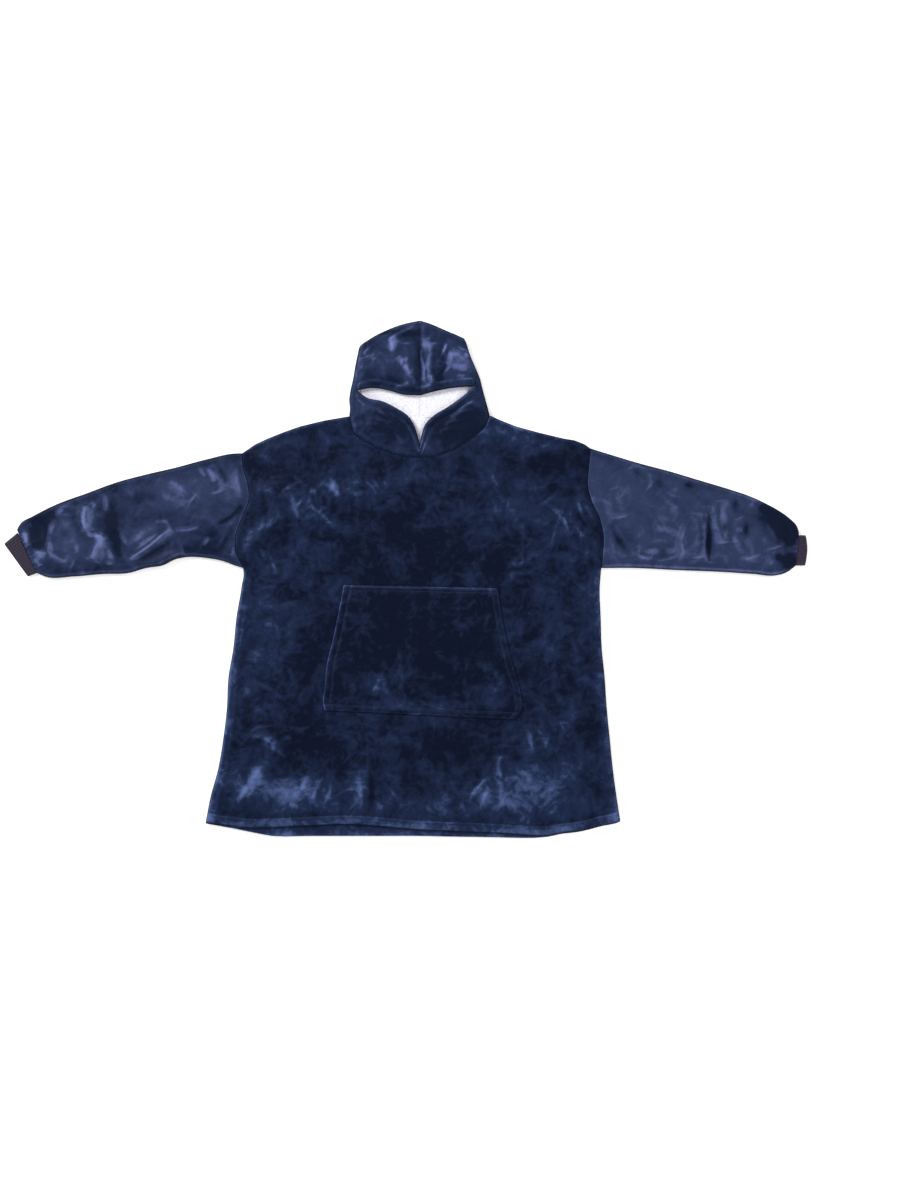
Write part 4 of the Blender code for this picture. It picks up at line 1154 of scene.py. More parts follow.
def crush(x, y, size, seed):
    """Pressed plush: 0 to 1, thin wandering ridges that come and go over the cloth."""
    span = WRINKLE_BEND_SPAN * size
    bent_x = x + WRINKLE_BEND * size * rolling(x / span, y / span, seed)
    bent_y = y + WRINKLE_BEND * size * rolling(x / span, y / span, seed + 1)
    ridge = 1.0 - np.abs(rolling(bent_x / size, bent_y / size, seed + 2))
    span = WRINKLE_PATCH_SPAN * size
    here = smooth_step(0.5 + WRINKLE_PATCH_CONTRAST * rolling(x / span, y / span, seed + 3))
    return np.clip(ridge, 0.0, 1.0) ** WRINKLE_SHARPNESS * here


def wrinkled(x, y, wrinkles):
    """Coarse and fine wrinkles pressed into one piece."""
    coarse, fine, share = wrinkles
    return crush(x, y, *coarse) + share * crush(x, y, *fine)


def new_piece(name, points, faces, kinds, materials, nap):
    """A smooth mesh object in the model's frame, with its material slots and its nap and painted light.

    Painted light is added to the nap: a painted highlight where the cloth tilts a little, most of all
    towards the key lamp's side, and painted shade where it turns away steeply at an edge.
    """
    mesh = bpy.data.meshes.new(name)
    placed = points - np.array([CENTRE_X, CENTRE_Y, 0.0])
    mesh.from_pydata(placed.tolist(), [], faces)
    for material in materials:
        mesh.materials.append(material)
    mesh.polygons.foreach_set("material_index", kinds)
    mesh.validate()
    mesh.shade_smooth()
    mesh.set_sharp_from_angle(angle=SHARP_ANGLE)
    normals = np.empty(len(points) * 3, np.float32)
    mesh.vertex_normals.foreach_get("vector", normals)
    normals = normals.reshape(-1, 3)
    # Painted light: lighter on gentle slopes and on slopes towards the key lamp, darker on steep ones
    tilt = 1.0 - np.abs(normals[:, 2])
    tilt_light = TILT_HIGHLIGHT * np.minimum(tilt, TILT_HIGHLIGHT_CAP) - TILT_SHADE * np.maximum(tilt - TILT_SHADE_START, 0.0)
    shade = nap + tilt_light + (1.0 - tilt) * (normals @ np.array(LAMP_SIDE_HIGHLIGHT))
    mesh.attributes.new("nap", "FLOAT", "POINT").data.foreach_set("value", shade.astype(np.float32))
    piece = bpy.data.objects.new(name, mesh)
    bpy.context.scene.collection.objects.link(piece)
    return piece


def grid_quads(rows, columns):
    """Corner indices of the squares of a grid of points, anticlockwise from above."""
    index = np.arange(rows * columns).reshape(rows, columns)
    corners = (index[:-1, :-1], index[:-1, 1:], index[1:, 1:], index[1:, :-1])
    return np.stack(corners, axis=-1).reshape(-1, 4)


def every(count, step):
    """Indices 0, step, 2 step and so on, always with the last one."""
    return np.unique(np.append(np.arange(0, count, step), count - 1))


def panel_wall(name, patch, face_cloth, back_cloth, turned_rows=0):
    """One closed wall with a fine outer side and a plainer inner side, joined round the rim.

    The first rows of the inner side take the face cloth, where a hem is turned over them.
    """
    outer, inner, nap, faces_up = patch
    rows, columns = outer.shape[:2]
    pick_rows, pick_columns = every(rows, INNER_SKIP), every(columns, INNER_SKIP)
    plain = inner[np.ix_(pick_rows, pick_columns)]
    plain_nap_and_painted_light = nap[np.ix_(pick_rows, pick_columns)]
    fine = np.arange(rows * columns).reshape(rows, columns)
    coarse = rows * columns + np.arange(plain_nap_and_painted_light.size).reshape(plain_nap_and_painted_light.shape)
    outside = grid_quads(rows, columns)
    inside = rows * columns + grid_quads(*plain_nap_and_painted_light.shape)[:, ::-1]
    rim = []
    for edge, low, picks in (
        (fine[0, :], coarse[0, :], pick_columns),
        (fine[:, -1], coarse[:, -1], pick_rows),
        (fine[-1, ::-1], coarse[-1, ::-1], columns - 1 - pick_columns[::-1]),
        (fine[::-1, 0], coarse[::-1, 0], rows - 1 - pick_rows[::-1]),
    ):
        for k in range(len(low) - 1):
            run = edge[picks[k] : picks[k + 1] + 1]
            rim.append([*run[::-1].tolist(), int(low[k]), int(low[k + 1])])
    turned = np.zeros((plain_nap_and_painted_light.shape[0] - 1, plain_nap_and_painted_light.shape[1] - 1), int) + 1
    turned[: np.searchsorted(pick_rows, turned_rows)] = 0
    faces = outside.tolist() + inside.tolist() + rim
    if not faces_up:
        faces = [face[::-1] for face in faces]
    kinds = [0] * len(outside) + turned.reshape(-1).tolist() + [0] * len(rim)
    points = np.concatenate([outer.reshape(-1, 3), plain.reshape(-1, 3)])
    shade = np.concatenate([nap.reshape(-1), plain_nap_and_painted_light.reshape(-1)])
    return new_piece(name, points, faces, kinds, (face_cloth, back_cloth), shade)


def tube_wall(name, patches, face_cloth, back_cloth):
    """One closed wall from patches of outer points and inner points that share their edges.

    Each patch is (outer, inner, nap and painted light, faces_up). The inner side takes the back cloth.
    """
    outer_points = np.concatenate([outer.reshape(-1, 3) for outer, _, _, _ in patches])
    inner_points = np.concatenate([inner.reshape(-1, 3) for _, inner, _, _ in patches])
    nap = np.concatenate([shade.reshape(-1) for _, _, shade, _ in patches])
    quads = []
    start = 0
    for outer, _, _, faces_up in patches:
        rows, columns = outer.shape[:2]
        square = start + grid_quads(rows, columns)
        quads.append(square if faces_up else square[:, ::-1])
        start += rows * columns
    quads = np.concatenate(quads)
    both = np.concatenate([outer_points, inner_points], axis=1)
    keys = np.round(both * MICROMETRES_PER_METRE).astype(np.int64)
    _, first, same = np.unique(keys, axis=0, return_index=True, return_inverse=True)
    same = same.reshape(-1)
    outer_points = outer_points[first]
    inner_points = inner_points[first]
    nap = nap[first]
    count = len(first)
    faces = []
    for face in same[quads].tolist():
        corners = list(dict.fromkeys(face))
        if len(corners) > 2:
            faces.append(corners)
    edges = {edge for face in faces for edge in zip(face, face[1:] + face[:1])}
    rim = [(a, b) for a, b in edges if (b, a) not in edges]
    walls = [[b, a, a + count, b + count] for a, b in sorted(rim)]
    inside = [[point + count for point in reversed(face)] for face in faces]
    points = np.concatenate([outer_points, inner_points])
    kinds = [0] * len(faces) + [1] * len(inside) + [0] * len(walls)
    shade = np.concatenate([nap, nap])
    return new_piece(name, points, faces + inside + walls, kinds, (face_cloth, back_cloth), shade)


def stand(plan, heights):
    """Plan points raised to their heights."""
    return np.concatenate([plan, heights[..., None]], axis=-1)


def graded(start, end, step, near=(), far=()):
    """Places from start to end about a step apart, closer at distances near and far from the ends."""
    low = start + np.array(sorted(near)) if len(near) else np.array([start])
    high = end - np.array(sorted(far, reverse=True)) if len(far) else np.array([end])
    count = max(2, int(math.ceil((high[0] - low[-1]) / step)) + 1)
    return np.concatenate([low[:-1], np.linspace(low[-1], high[0], count), high[1:]])


def graded_shares(length, step, near, far):
    """The same as shares from 0 to 1 of a length."""
    return graded(0.0, 1.0, step / length, near=np.array(near) / length, far=np.array(far) / length)


def body_stations(step):
    """Places across the body, closer at its sides and where the neck drops."""
    left = graded(STATIONS_LEFT, NECK_LEFT, step, near=EDGE_RUN)
    drop = np.linspace(NECK_LEFT, NECK_LEFT + NECK_DROP, NECK_DROP_POINTS)
    middle_left = graded(NECK_LEFT + NECK_DROP, CENTRE_FRONT, step)
    middle_right = graded(CENTRE_FRONT, NECK_RIGHT - NECK_DROP, step)
    rise = np.linspace(NECK_RIGHT - NECK_DROP, NECK_RIGHT, NECK_DROP_POINTS)
    right = graded(NECK_RIGHT, STATIONS_RIGHT, step, far=EDGE_RUN)
    return np.concatenate([left, drop[1:], middle_left[1:], middle_right[1:], rise[1:], right[1:]])


def body_rows(step):
    """Places up the body, closer at the hem and at the shoulders."""
    low = graded(0.0, ARMPIT, step, near=HEM_RUN)
    high = graded(ARMPIT, SHOULDER_END, step, far=EDGE_RUN)
    return np.concatenate([low, high[1:]])


def top_edge(x, front):
    """Shoulder line and neckline over the station x of the front or the back."""
    shoulder = read_line(SHOULDERS["x"], SHOULDERS["y"], x)
    if front:
        neck = read_curve(NECKLINE["x"], NECKLINE["y"], x)
    else:
        neck = np.full_like(x, BACK_NECK)
    inside = np.clip(np.minimum(x - NECK_LEFT, NECK_RIGHT - x) / NECK_DROP, 0.0, 1.0)
    return shoulder * (1 - inside) + neck * inside


def body_plan(front, stations, rows):
    """Plan points of the front or the back panel, from the hem up, and from left to right."""
    part = (stations - STATIONS_LEFT) / (STATIONS_RIGHT - STATIONS_LEFT)
    hem_x = SIDES["left"][0] + part * (SIDES["right"][0] - SIDES["left"][0])
    hem = read_curve(HEM["x"], HEM["front" if front else "back"], hem_x)
    top = top_edge(stations, front)
    rows = rows[:, None]
    low = np.clip(1.0 - rows / HEM_FADE, 0.0, 1.0) ** 2
    high = np.clip((rows - TOP_FADE) / (SHOULDER_END - TOP_FADE), 0.0, 1.0) ** 2
    y = rows + hem[None, :] * low + (top[None, :] - SHOULDER_END) * high
    left = read_curve(SIDES["y"], SIDES["left"], y[:, :1])
    right = read_curve(SIDES["y"], SIDES["right"], y[:, -1:])
    x = left + part[None, :] * (right - left)
    return np.stack([x, y], axis=-1), hem, top


def body_points(front, step, rows):
    """Plan of a body panel, its distances in from side, hem and top, and where its neck is."""
    stations = body_stations(step)
    plan, hem, top = body_plan(front, stations, rows)
    x, y = plan[..., 0], plan[..., 1]
    side = np.minimum(x - x[:, :1], x[:, -1:] - x)
    on_neck = ((stations > NECK_LEFT) & (stations < NECK_RIGHT))[None, :]
    return plan, side, y - hem[None, :], top[None, :] - y, on_neck


def pocket_mask(x, y):
    """0 under the pocket and 1 clear of it, so that it lies on a plain stretch of the front."""
    left = read_line(POCKET_SIDES["y"], POCKET_SIDES["left"], y) - POCKET_CLEAR
    right = read_line(POCKET_SIDES["y"], POCKET_SIDES["right"], y) + POCKET_CLEAR
    bottom = POCKET_FOOT - POCKET_CLEAR - POCKET_CLEAR_FOOT
    top = POCKET_SIDES["y"][-1] + POCKET_CLEAR + POCKET_CLEAR_TOP
    outside = np.maximum(np.maximum(left - x, x - right), np.maximum(bottom - y, y - top))
    return smooth_step(outside / EDGE_FADE)


def front_surface(rows, crease_height):
    """Plan, outer height, inner height, and nap and painted light of the front panel at its rows."""
    plan, side, above_hem, below_top, on_neck = body_points(True, PANEL_STEP, rows)
    x, y = plan[..., 0], plan[..., 1]
    nearest = np.minimum(np.minimum(side, above_hem), below_top)
    clear = smooth_step(nearest / EDGE_FADE)
    mask = pocket_mask(x, y)
    big = (fold_relief(BODY_FOLDS, x, y) + swell_relief(BODY_SWELLS, x, y)) * clear * mask
    thin = fold_relief(BODY_CREASES, x, y) * clear * mask
    here = np.clip(CRUSH_EVEN + swell_relief(BODY_CRUSH, x, y), 0.0, CRUSH_MOST)
    pressed = wrinkled(x, y, BODY_WRINKLES) * here * clear * mask
    relief = big + crease_height * (thin + CRUSH_HEIGHT["body"] * pressed)
    sewn = smooth_step((y - ARMPIT + UNDERARM_FADE / 2) / UNDERARM_FADE)
    rim = edge_drop(side, EDGE_RADIUS, EDGE_DROP) * (1 - sewn)
    rim = rim + edge_drop(side, SEAM_REACH, SEAM_DIP) * sewn
    shoulder = edge_drop(below_top, EDGE_RADIUS, EDGE_DROP)
    neck = edge_drop(below_top, SEAM_REACH, NECK_DIP)
    rim = np.maximum(rim, np.where(on_neck, neck, shoulder))
    rim = np.maximum(rim, edge_drop(above_hem, EDGE_RADIUS, EDGE_DROP * HEM_DROP_SHARE))
    roll = HEM_ROLL * np.sin(np.pi * np.clip(above_hem / HEM_DEPTH, 0.0, 1.0))
    press = edge_band(SIDE_PRESS, side) * (1 - sewn)
    outer = FRONT_TOP + relief + roll + press - rim - stitch_sink(above_hem, HEM_DEPTH, "hem")
    inner = FRONT_UNDER + np.maximum(big - FOLD_SLACK, 0.0)
    # Nap patches, with painted light: creases, wrinkles, the rounded sides and the rolled hem painted
    # lighter, the armhole seam's dip darker
    nap = swell_relief(BODY_NAP_AND_PAINTED_LIGHT, x, y) + CREASE_SHADE * thin
    nap = nap + edge_band(SIDE_PAINTED_HIGHLIGHT, side) * (1 - sewn) + edge_band(HEM_PAINTED_HIGHLIGHT, above_hem)
    nap = nap + edge_lighter_or_darker(ARMHOLE_PAINTED_SHADE, side) * sewn + CRUSH_NAP_AND_HIGHLIGHT["body"] * pressed
    nap = nap + CRUSH_NAP_AND_HIGHLIGHT["body_fine"] * crush(x, y, *BODY_FINEST) * here * mask
    return plan, outer, inner, nap


def front_panel_patch(crease_height):
    """The front panel, from the hem to the shoulders and the neckline."""
    plan, outer, inner, nap = front_surface(body_rows(PANEL_STEP), crease_height)
    return stand(plan, outer), stand(plan, inner), nap, True


def hem_route(crease_height):
    """The row of topstitches along the front hem."""
    plan, outer, _, _ = front_surface(np.array([HEM_DEPTH]), crease_height)
    return stand(plan, outer)[0, STATIONS_WITHOUT_STITCH:-STATIONS_WITHOUT_STITCH]


def back_panel_patch():
    """The back panel, with dents of wrinkles and of the front's troughs, mirrored and softer."""
    rows = body_rows(UNDERSIDE_STEP)
    plan, side, above_hem, below_top, on_neck = body_points(False, UNDERSIDE_STEP, rows)
    x, y = plan[..., 0], plan[..., 1]
    free_side = np.where(y > ARMPIT - UNDERARM_FREE, OUT_OF_REACH, side)
    free_top = np.where(on_neck, OUT_OF_REACH, below_top)
    nearest = np.minimum(np.minimum(free_side, free_top), above_hem)
    clear = smooth_step(np.minimum(np.minimum(side, above_hem), below_top) / EDGE_FADE)
    troughs = BACK_FOLD_SHARE * np.maximum(-fold_relief(BODY_FOLDS, -x, y), 0.0)
    dents = CRUSH_HEIGHT["back"] * crush(x, y, *BACK_DENTS) + troughs
    outer = edge_drop(nearest, EDGE_RADIUS, EDGE_DROP * BACK_DROP_SHARE) + dents * clear
    nap = CRUSH_NAP_AND_HIGHLIGHT["back"] * crush(x, y, *BACK_BRUSHED) + edge_lighter_or_darker(BACK_HEM_LIGHTER, above_hem)
    return stand(plan, outer), stand(plan, np.full_like(x, CLOTH)), nap, False


def pocket_edges(height):
    """Level and left and right edges of the pocket at shares of its height."""
    level = POCKET_FOOT + height * POCKET_TALL
    left = read_curve(POCKET_SIDES["y"], POCKET_SIDES["left"], level)[:, None]
    right = read_curve(POCKET_SIDES["y"], POCKET_SIDES["right"], level)[:, None]
    return level[:, None], left, right


def pocket_surface(across, height):
    """Plan, outer height, and nap and painted light of the pocket at shares of its width and of its height.
    """
    level, left, right = pocket_edges(height)
    x = left + across[None, :] * (right - left)
    lean = POCKET_LEAN * (1.0 - POCKET_LEAN_FADE * height[:, None]) * (across[None, :] - 0.5)
    y = level + lean
    side = np.minimum(x - left, right - x)
    from_top = (1 - height)[:, None] * POCKET_TALL
    from_foot = height[:, None] * POCKET_TALL
    nearest = np.minimum(np.minimum(side, from_top), from_foot)
    centre_x = (x - (left + right) / 2) / ((right - left) / 2)
    crown = POCKET_CROWN * np.clip(1.0 - centre_x**2, 0.0, 1.0) * np.sin(np.pi * height)[:, None]
    pressed = wrinkled(x, y, POCKET_WRINKLES)
    clear = smooth_step(nearest / POCKET_FADE)
    thin = fold_relief(POCKET_CREASES, x, y) * clear
    outer = FRONT_TOP + SEAM + POCKET_CLOTH + crown - edge_drop(nearest, POCKET_EDGE_RADIUS, POCKET_ROUND)
    outer = outer + thin + CRUSH_HEIGHT["pocket"] * pressed * clear
    outer = outer - stitch_sink(side, POCKET_SIDE_HEM, "pocket_side")
    outer = outer - stitch_sink(from_foot, POCKET_FOOT_HEM, "pocket_foot")
    for row in POCKET_TOP_ROWS:
        outer = outer - stitch_sink(from_top, row, "pocket_top")
    # Nap patches, with painted light: creases, wrinkles and the rounded edges painted lighter
    nap = POCKET_SHADE + swell_relief(POCKET_NAP_AND_PAINTED_LIGHT, x, y) + CREASE_SHADE * thin
    nap = nap + CRUSH_NAP_AND_HIGHLIGHT["pocket"] * pressed + edge_lighter_or_darker(POCKET_EDGE_HIGHLIGHT, nearest)
    return np.stack([x, y], axis=-1), outer, nap


def pocket_patch():
    """The pocket, flat underneath, where it lies on the front."""
    width = POCKET_SIDES["right"].max() - POCKET_SIDES["left"].min()
    across = graded_shares(width, POCKET_STEP, POCKET_RUN, POCKET_RUN)
    height = graded_shares(POCKET_TALL, POCKET_STEP, POCKET_RUN, POCKET_RUN)
    plan, outer, nap = pocket_surface(across, height)
    return stand(plan, outer), stand(plan, np.full_like(outer, FRONT_TOP + SEAM)), nap, True


def pocket_routes():
    """The pocket's rows of topstitches: two under the top, one above the foot, one up each side."""
    routes = []
    for row in (*(1 - np.array(POCKET_TOP_ROWS) / POCKET_TALL), POCKET_FOOT_HEM / POCKET_TALL):
        plan, outer, _ = pocket_surface(np.linspace(*POCKET_ROW_SPAN), np.array([row]))
        routes.append(stand(plan, outer)[0])
    for on_right in (False, True):
        points = []
        for part in np.linspace(*POCKET_SIDE_SPAN):
            height = np.array([part])
            _, left, right = pocket_edges(height)
            share = POCKET_SIDE_HEM / (right - left)[0]
            plan, outer, _ = pocket_surface(1 - share if on_right else share, height)
            points.append(stand(plan, outer)[0, 0])
        routes.append(np.array(points))
    return routes


def armhole(side):
    """The body's armhole edge from the armpit up, moved out by the seam's gap."""
    rows = body_rows(PANEL_STEP)
    plan, _, _ = body_plan(True, np.array([STATIONS_LEFT, STATIONS_RIGHT]), rows)
    edge = plan[rows >= ARMPIT - TOLERANCE, 0 if side < 0 else -1]
    return {"x": edge[:, 0] + side * SLANT_GAP, "y": edge[:, 1]}


def tube_patches(
    plan_at, across, along, top, under, inner_top, inner_under, rounding, inset, fold_height, nap
):
    """Upper and lower patches of a flat tube whose long edges are folds.

    The lower side reads its nap and painted light at mirrored places, so that it doesn't repeat the upper
    side's.
    """
    plan = plan_at(across, along)
    width = np.hypot(*(plan[:, -1] - plan[:, 0]).T)[:, None]
    part = across[None, :]
    edge = np.minimum(part, 1 - part) * width
    shift = np.maximum(inset - np.minimum(across, 1 - across) / 2, 0.0)
    inner_plan = plan_at(across + np.where(across < 0.5, shift, -shift), along)
    is_fold = (part <= 0) | (part >= 1)
    high = top(plan)
    high = high - edge_drop(edge, rounding, 1.0) * (high - fold_height)
    low = under(plan) * smooth_step(edge / EDGE_FADE)
    low = low + edge_drop(edge, rounding * UNDER_ROUND_SHARE, 1.0) * (fold_height - low)
    inner_high = np.where(is_fold, fold_height, inner_top(plan, edge))
    inner_low = np.where(is_fold, fold_height, inner_under) + np.zeros_like(inner_high)
    shade = nap(plan, edge)
    shade_under = np.where(is_fold, shade, nap(plan * np.array([1.0, -1.0]), edge))
    return [
        (stand(plan, high), stand(inner_plan, inner_high), shade, True),
        (stand(plan, low), stand(inner_plan, inner_low), shade_under, False),
    ]


def sleeve_map(side):
    """Plan of a sleeve: across runs from the underarm to the top fold, along from armhole to cuff."""
    hole = armhole(side)
    under = {key: np.append(hole[key][0], SLEEVE_UNDERS[side][key][1:]) for key in ("x", "y")}
    over = {key: np.append(hole[key][-1], SLEEVE_TOPS[side][key][1:]) for key in ("x", "y")}
    end = straight(under, over)
    height = (hole["y"] - hole["y"][0]) / (hole["y"][-1] - hole["y"][0])

    def hole_at(parts):
        return np.stack([read_line(height, hole[key], parts) for key in ("x", "y")], axis=-1)

    def plan_at(across, along):
        return patch_between(hole_at, end, under, over, across, along)

    return plan_at


def turned(patches, side):
    """Patches whose faces point out for this side of the garment."""
    return [(outer, inner, nap, up if side < 0 else not up) for outer, inner, nap, up in patches]


def sleeve_patches(side, crease_height):
    """Upper and lower patches of one sleeve, gathered into its cuff."""
    across = graded_shares(SLEEVE_WIDTH, SLEEVE_STEP, SLEEVE_FOLD_RUN, SLEEVE_FOLD_RUN)
    along = graded_shares(SLEEVE_LENGTH, SLEEVE_STEP, SLEEVE_END_RUN, SLEEVE_END_RUN)
    from_seam = along[:, None] * SLEEVE_LENGTH
    end = CUFF_SEAMS[side]
    end_run = np.array([end["x"][-1] - end["x"][0], end["y"][-1] - end["y"][0]])
    end_run = end_run / np.hypot(*end_run)

    def parts_of(plan):
        """Folds, gathers, dips at the seams, thin creases and wrinkles at the plan's points."""
        x, y = plan[..., 0], plan[..., 1]
        from_cuff = np.abs((x - end["x"][0]) * end_run[1] - (y - end["y"][0]) * end_run[0])
        down_cuff = (x - end["x"][0]) * end_run[0] + (y - end["y"][0]) * end_run[1]
        open_part = smooth_step(from_seam / EDGE_FADE) * smooth_step(from_cuff / EDGE_FADE)
        raised = fold_relief(SLEEVE_FOLDS[side], x, y) + swell_relief(SLEEVE_SWELLS[side], x, y)
        raised = (raised + SLEEVE_SWELL) * open_part
        uneven = down_cuff + GATHER_WOBBLE * np.sin(down_cuff / GATHER_WOBBLE_SPAN)
        gather = np.cos(2 * np.pi * uneven / GATHER_PITCH) * (1 - smooth_step(from_cuff / GATHER_REACH))
        sink = edge_drop(from_seam, SEAM_REACH, SEAM_DIP)
        sink = sink + edge_drop(from_cuff, SLEEVE_END_REACH, SLEEVE_END_DROP)
        thin = fold_relief(SLEEVE_CREASES[side], x, y) * smooth_step(from_seam / CREASE_FADE_AT_ARMHOLE)
        thin = thin * smooth_step(from_cuff / CREASE_FADE_AT_CUFF)
        pressed = wrinkled(x, y, SLEEVE_WRINKLES[side]) * open_part
        return raised, gather, sink, thin, pressed

    def top(plan):
        raised, gather, sink, thin, pressed = parts_of(plan)
        fine = crease_height * (thin + CRUSH_HEIGHT["sleeve"] * pressed)
        return FRONT_TOP + raised + GATHER_HEIGHT * gather - sink + fine

    def under(plan):
        _, gather, _, _, pressed = parts_of(plan)
        return CRUSH_HEIGHT["sleeve_under"] * pressed + GATHER_UNDER * np.maximum(gather, 0.0)

    def inner_top(plan, edge):
        raised, _, _, _, _ = parts_of(plan)
        return FRONT_UNDER + np.maximum(raised - FOLD_SLACK, 0.0) * smooth_step(edge / SLEEVE_INNER_FADE)

    def nap(plan, edge):
        x, y = plan[..., 0], plan[..., 1]
        _, gather, _, thin, pressed = parts_of(plan)
        # Nap patches, with painted light: creases, wrinkles and gathers, and painted shade along the folded
        # edges
        creased = np.minimum(thin, 0.0) + SLEEVE_CREASE_HIGHLIGHT[side] * np.maximum(thin, 0.0)
        shade = SLEEVE_SHADE[side] + swell_relief(SLEEVE_NAP_AND_PAINTED_LIGHT[side], x, y) + CREASE_SHADE * creased
        shade = shade + SLEEVE_WRINKLE_HIGHLIGHT[side] * pressed + GATHER_PAINTED_LIGHT * gather
        return shade + edge_lighter_or_darker(SLEEVE_EDGE_SHADE, edge)

    middle = (CLOTH + FRONT_UNDER) / 2
    levels = (top, under, inner_top, CLOTH, SLEEVE_ROUND, SLEEVE_FOLD_INSET, middle, nap)
    return turned(tube_patches(sleeve_map(side), across, along, *levels), -side)


def cuff_patches(side, rib_rise):
    """Upper and lower patches of one cuff, ribbed across and rolled a little at its free end."""
    seam = CUFF_SEAMS[side]
    end = CUFF_ENDS[side]
    out = np.array([end["x"][0] - seam["x"][0], end["y"][0] - seam["y"][0]])
    out = out / np.hypot(*out) * CUFF_GAP
    start = {"x": seam["x"][::-1] + out[0], "y": seam["y"][::-1] + out[1]}
    finish = {"x": end["x"][::-1], "y": end["y"][::-1]}
    low, high = (straight(start, finish, at) for at in (0, -1))
    ribs = np.linspace(*RIB_SPAN, CUFF_RIBS * POINTS_PER_RIB + 1)
    across = np.concatenate([CUFF_FOLD_SHARES, ribs, 1 - CUFF_FOLD_SHARES[::-1]])
    along = np.concatenate([np.linspace(*CUFF_EVEN_ROWS), CUFF_END_ROWS])

    def plan_at(parts, runs):
        return patch_between(start, finish, low, high, parts, runs)

    phase = np.clip((across - RIB_SPAN[0]) / (RIB_SPAN[1] - RIB_SPAN[0]), 0.0, 1.0) * CUFF_RIBS
    rib = rib_rise * (0.5 - 0.5 * np.cos(2 * np.pi * phase)) ** RIB_ROUNDNESS
    roll = edge_drop((1 - along)[:, None] * CUFF_DEPTH, CUFF_EDGE_RADIUS, CUFF_EDGE_ROLL)

    def top(plan):
        return 2 * RIB_CLOTH + CUFF_CAVITY + rib[None, :] - roll

    def under(plan):
        return 0.5 * (rib_rise - rib[None, :]) + 0 * plan[..., 0]

    def inner_top(plan, edge):
        return np.full(plan.shape[:2], RIB_CLOTH + CUFF_CAVITY)

    # Painted light: the ribs' tops lighter, the grooves between them darker
    def nap(plan, edge):
        return RIB_TOP_HIGHLIGHT * rib[None, :] / rib_rise + 0 * plan[..., 0]

    middle = RIB_CLOTH + CUFF_CAVITY / 2
    levels = (top, under, inner_top, RIB_CLOTH, CUFF_ROUND, CUFF_FOLD_INSET, middle, nap)
    return turned(tube_patches(plan_at, across, along, *levels), -side)


def neck_edge(side, front):
    """Neck edge of one half, from the shoulder corner to the centre, inside the panel's own edge."""
    stations = body_stations(PANEL_STEP)
    plan, _, _ = body_plan(front, stations, np.array([SHOULDER_END]))
    if side < 0:
        inside = (stations >= NECK_LEFT - TOLERANCE) & (stations <= CENTRE_FRONT + TOLERANCE)
        points = plan[0, inside]
    else:
        inside = (stations <= NECK_RIGHT + TOLERANCE) & (stations >= CENTRE_FRONT - TOLERANCE)
        points = plan[0, inside][::-1]
    run = np.gradient(points, axis=0)
    run = run / np.hypot(*run.T)[:, None]
    inward = np.stack([side * run[:, 1], -side * run[:, 0]], axis=-1)
    inward[0] = (-side * NECK_CORNER[0], NECK_CORNER[1])
    inward[-1] = (0.0, 1.0)
    points = points + inward * SLANT_GAP
    points[-1, 0] = CENTRE_FRONT + side * SEAM / 2
    return {"x": points[:, 0], "y": points[:, 1]}


def chained(*routes):
    """One route through the points of several."""
    return {key: np.concatenate([route[key] for route in routes]) for key in ("x", "y")}


def stretch(route, first, last):
    """A stretch of a route, from its point first up to, but without, its point last."""
    return {key: route[key][first:last] for key in ("x", "y")}


def at_centre(route, side):
    """A route whose last point lies on this half's side of the centre seam."""
    x = route["x"].copy()
    x[-1] = CENTRE_FRONT + side * SEAM / 2
    return {"x": x, "y": route["y"]}


def in_two(first, rest, share, parts):
    """Points along two routes, one after the other, that meet at the share."""
    low = trace(first, np.clip(parts / share, 0.0, 1.0))
    high = trace(rest, np.clip((parts - share) / (1 - share), 0.0, 1.0))
    return np.where((parts <= share)[:, None], low, high)


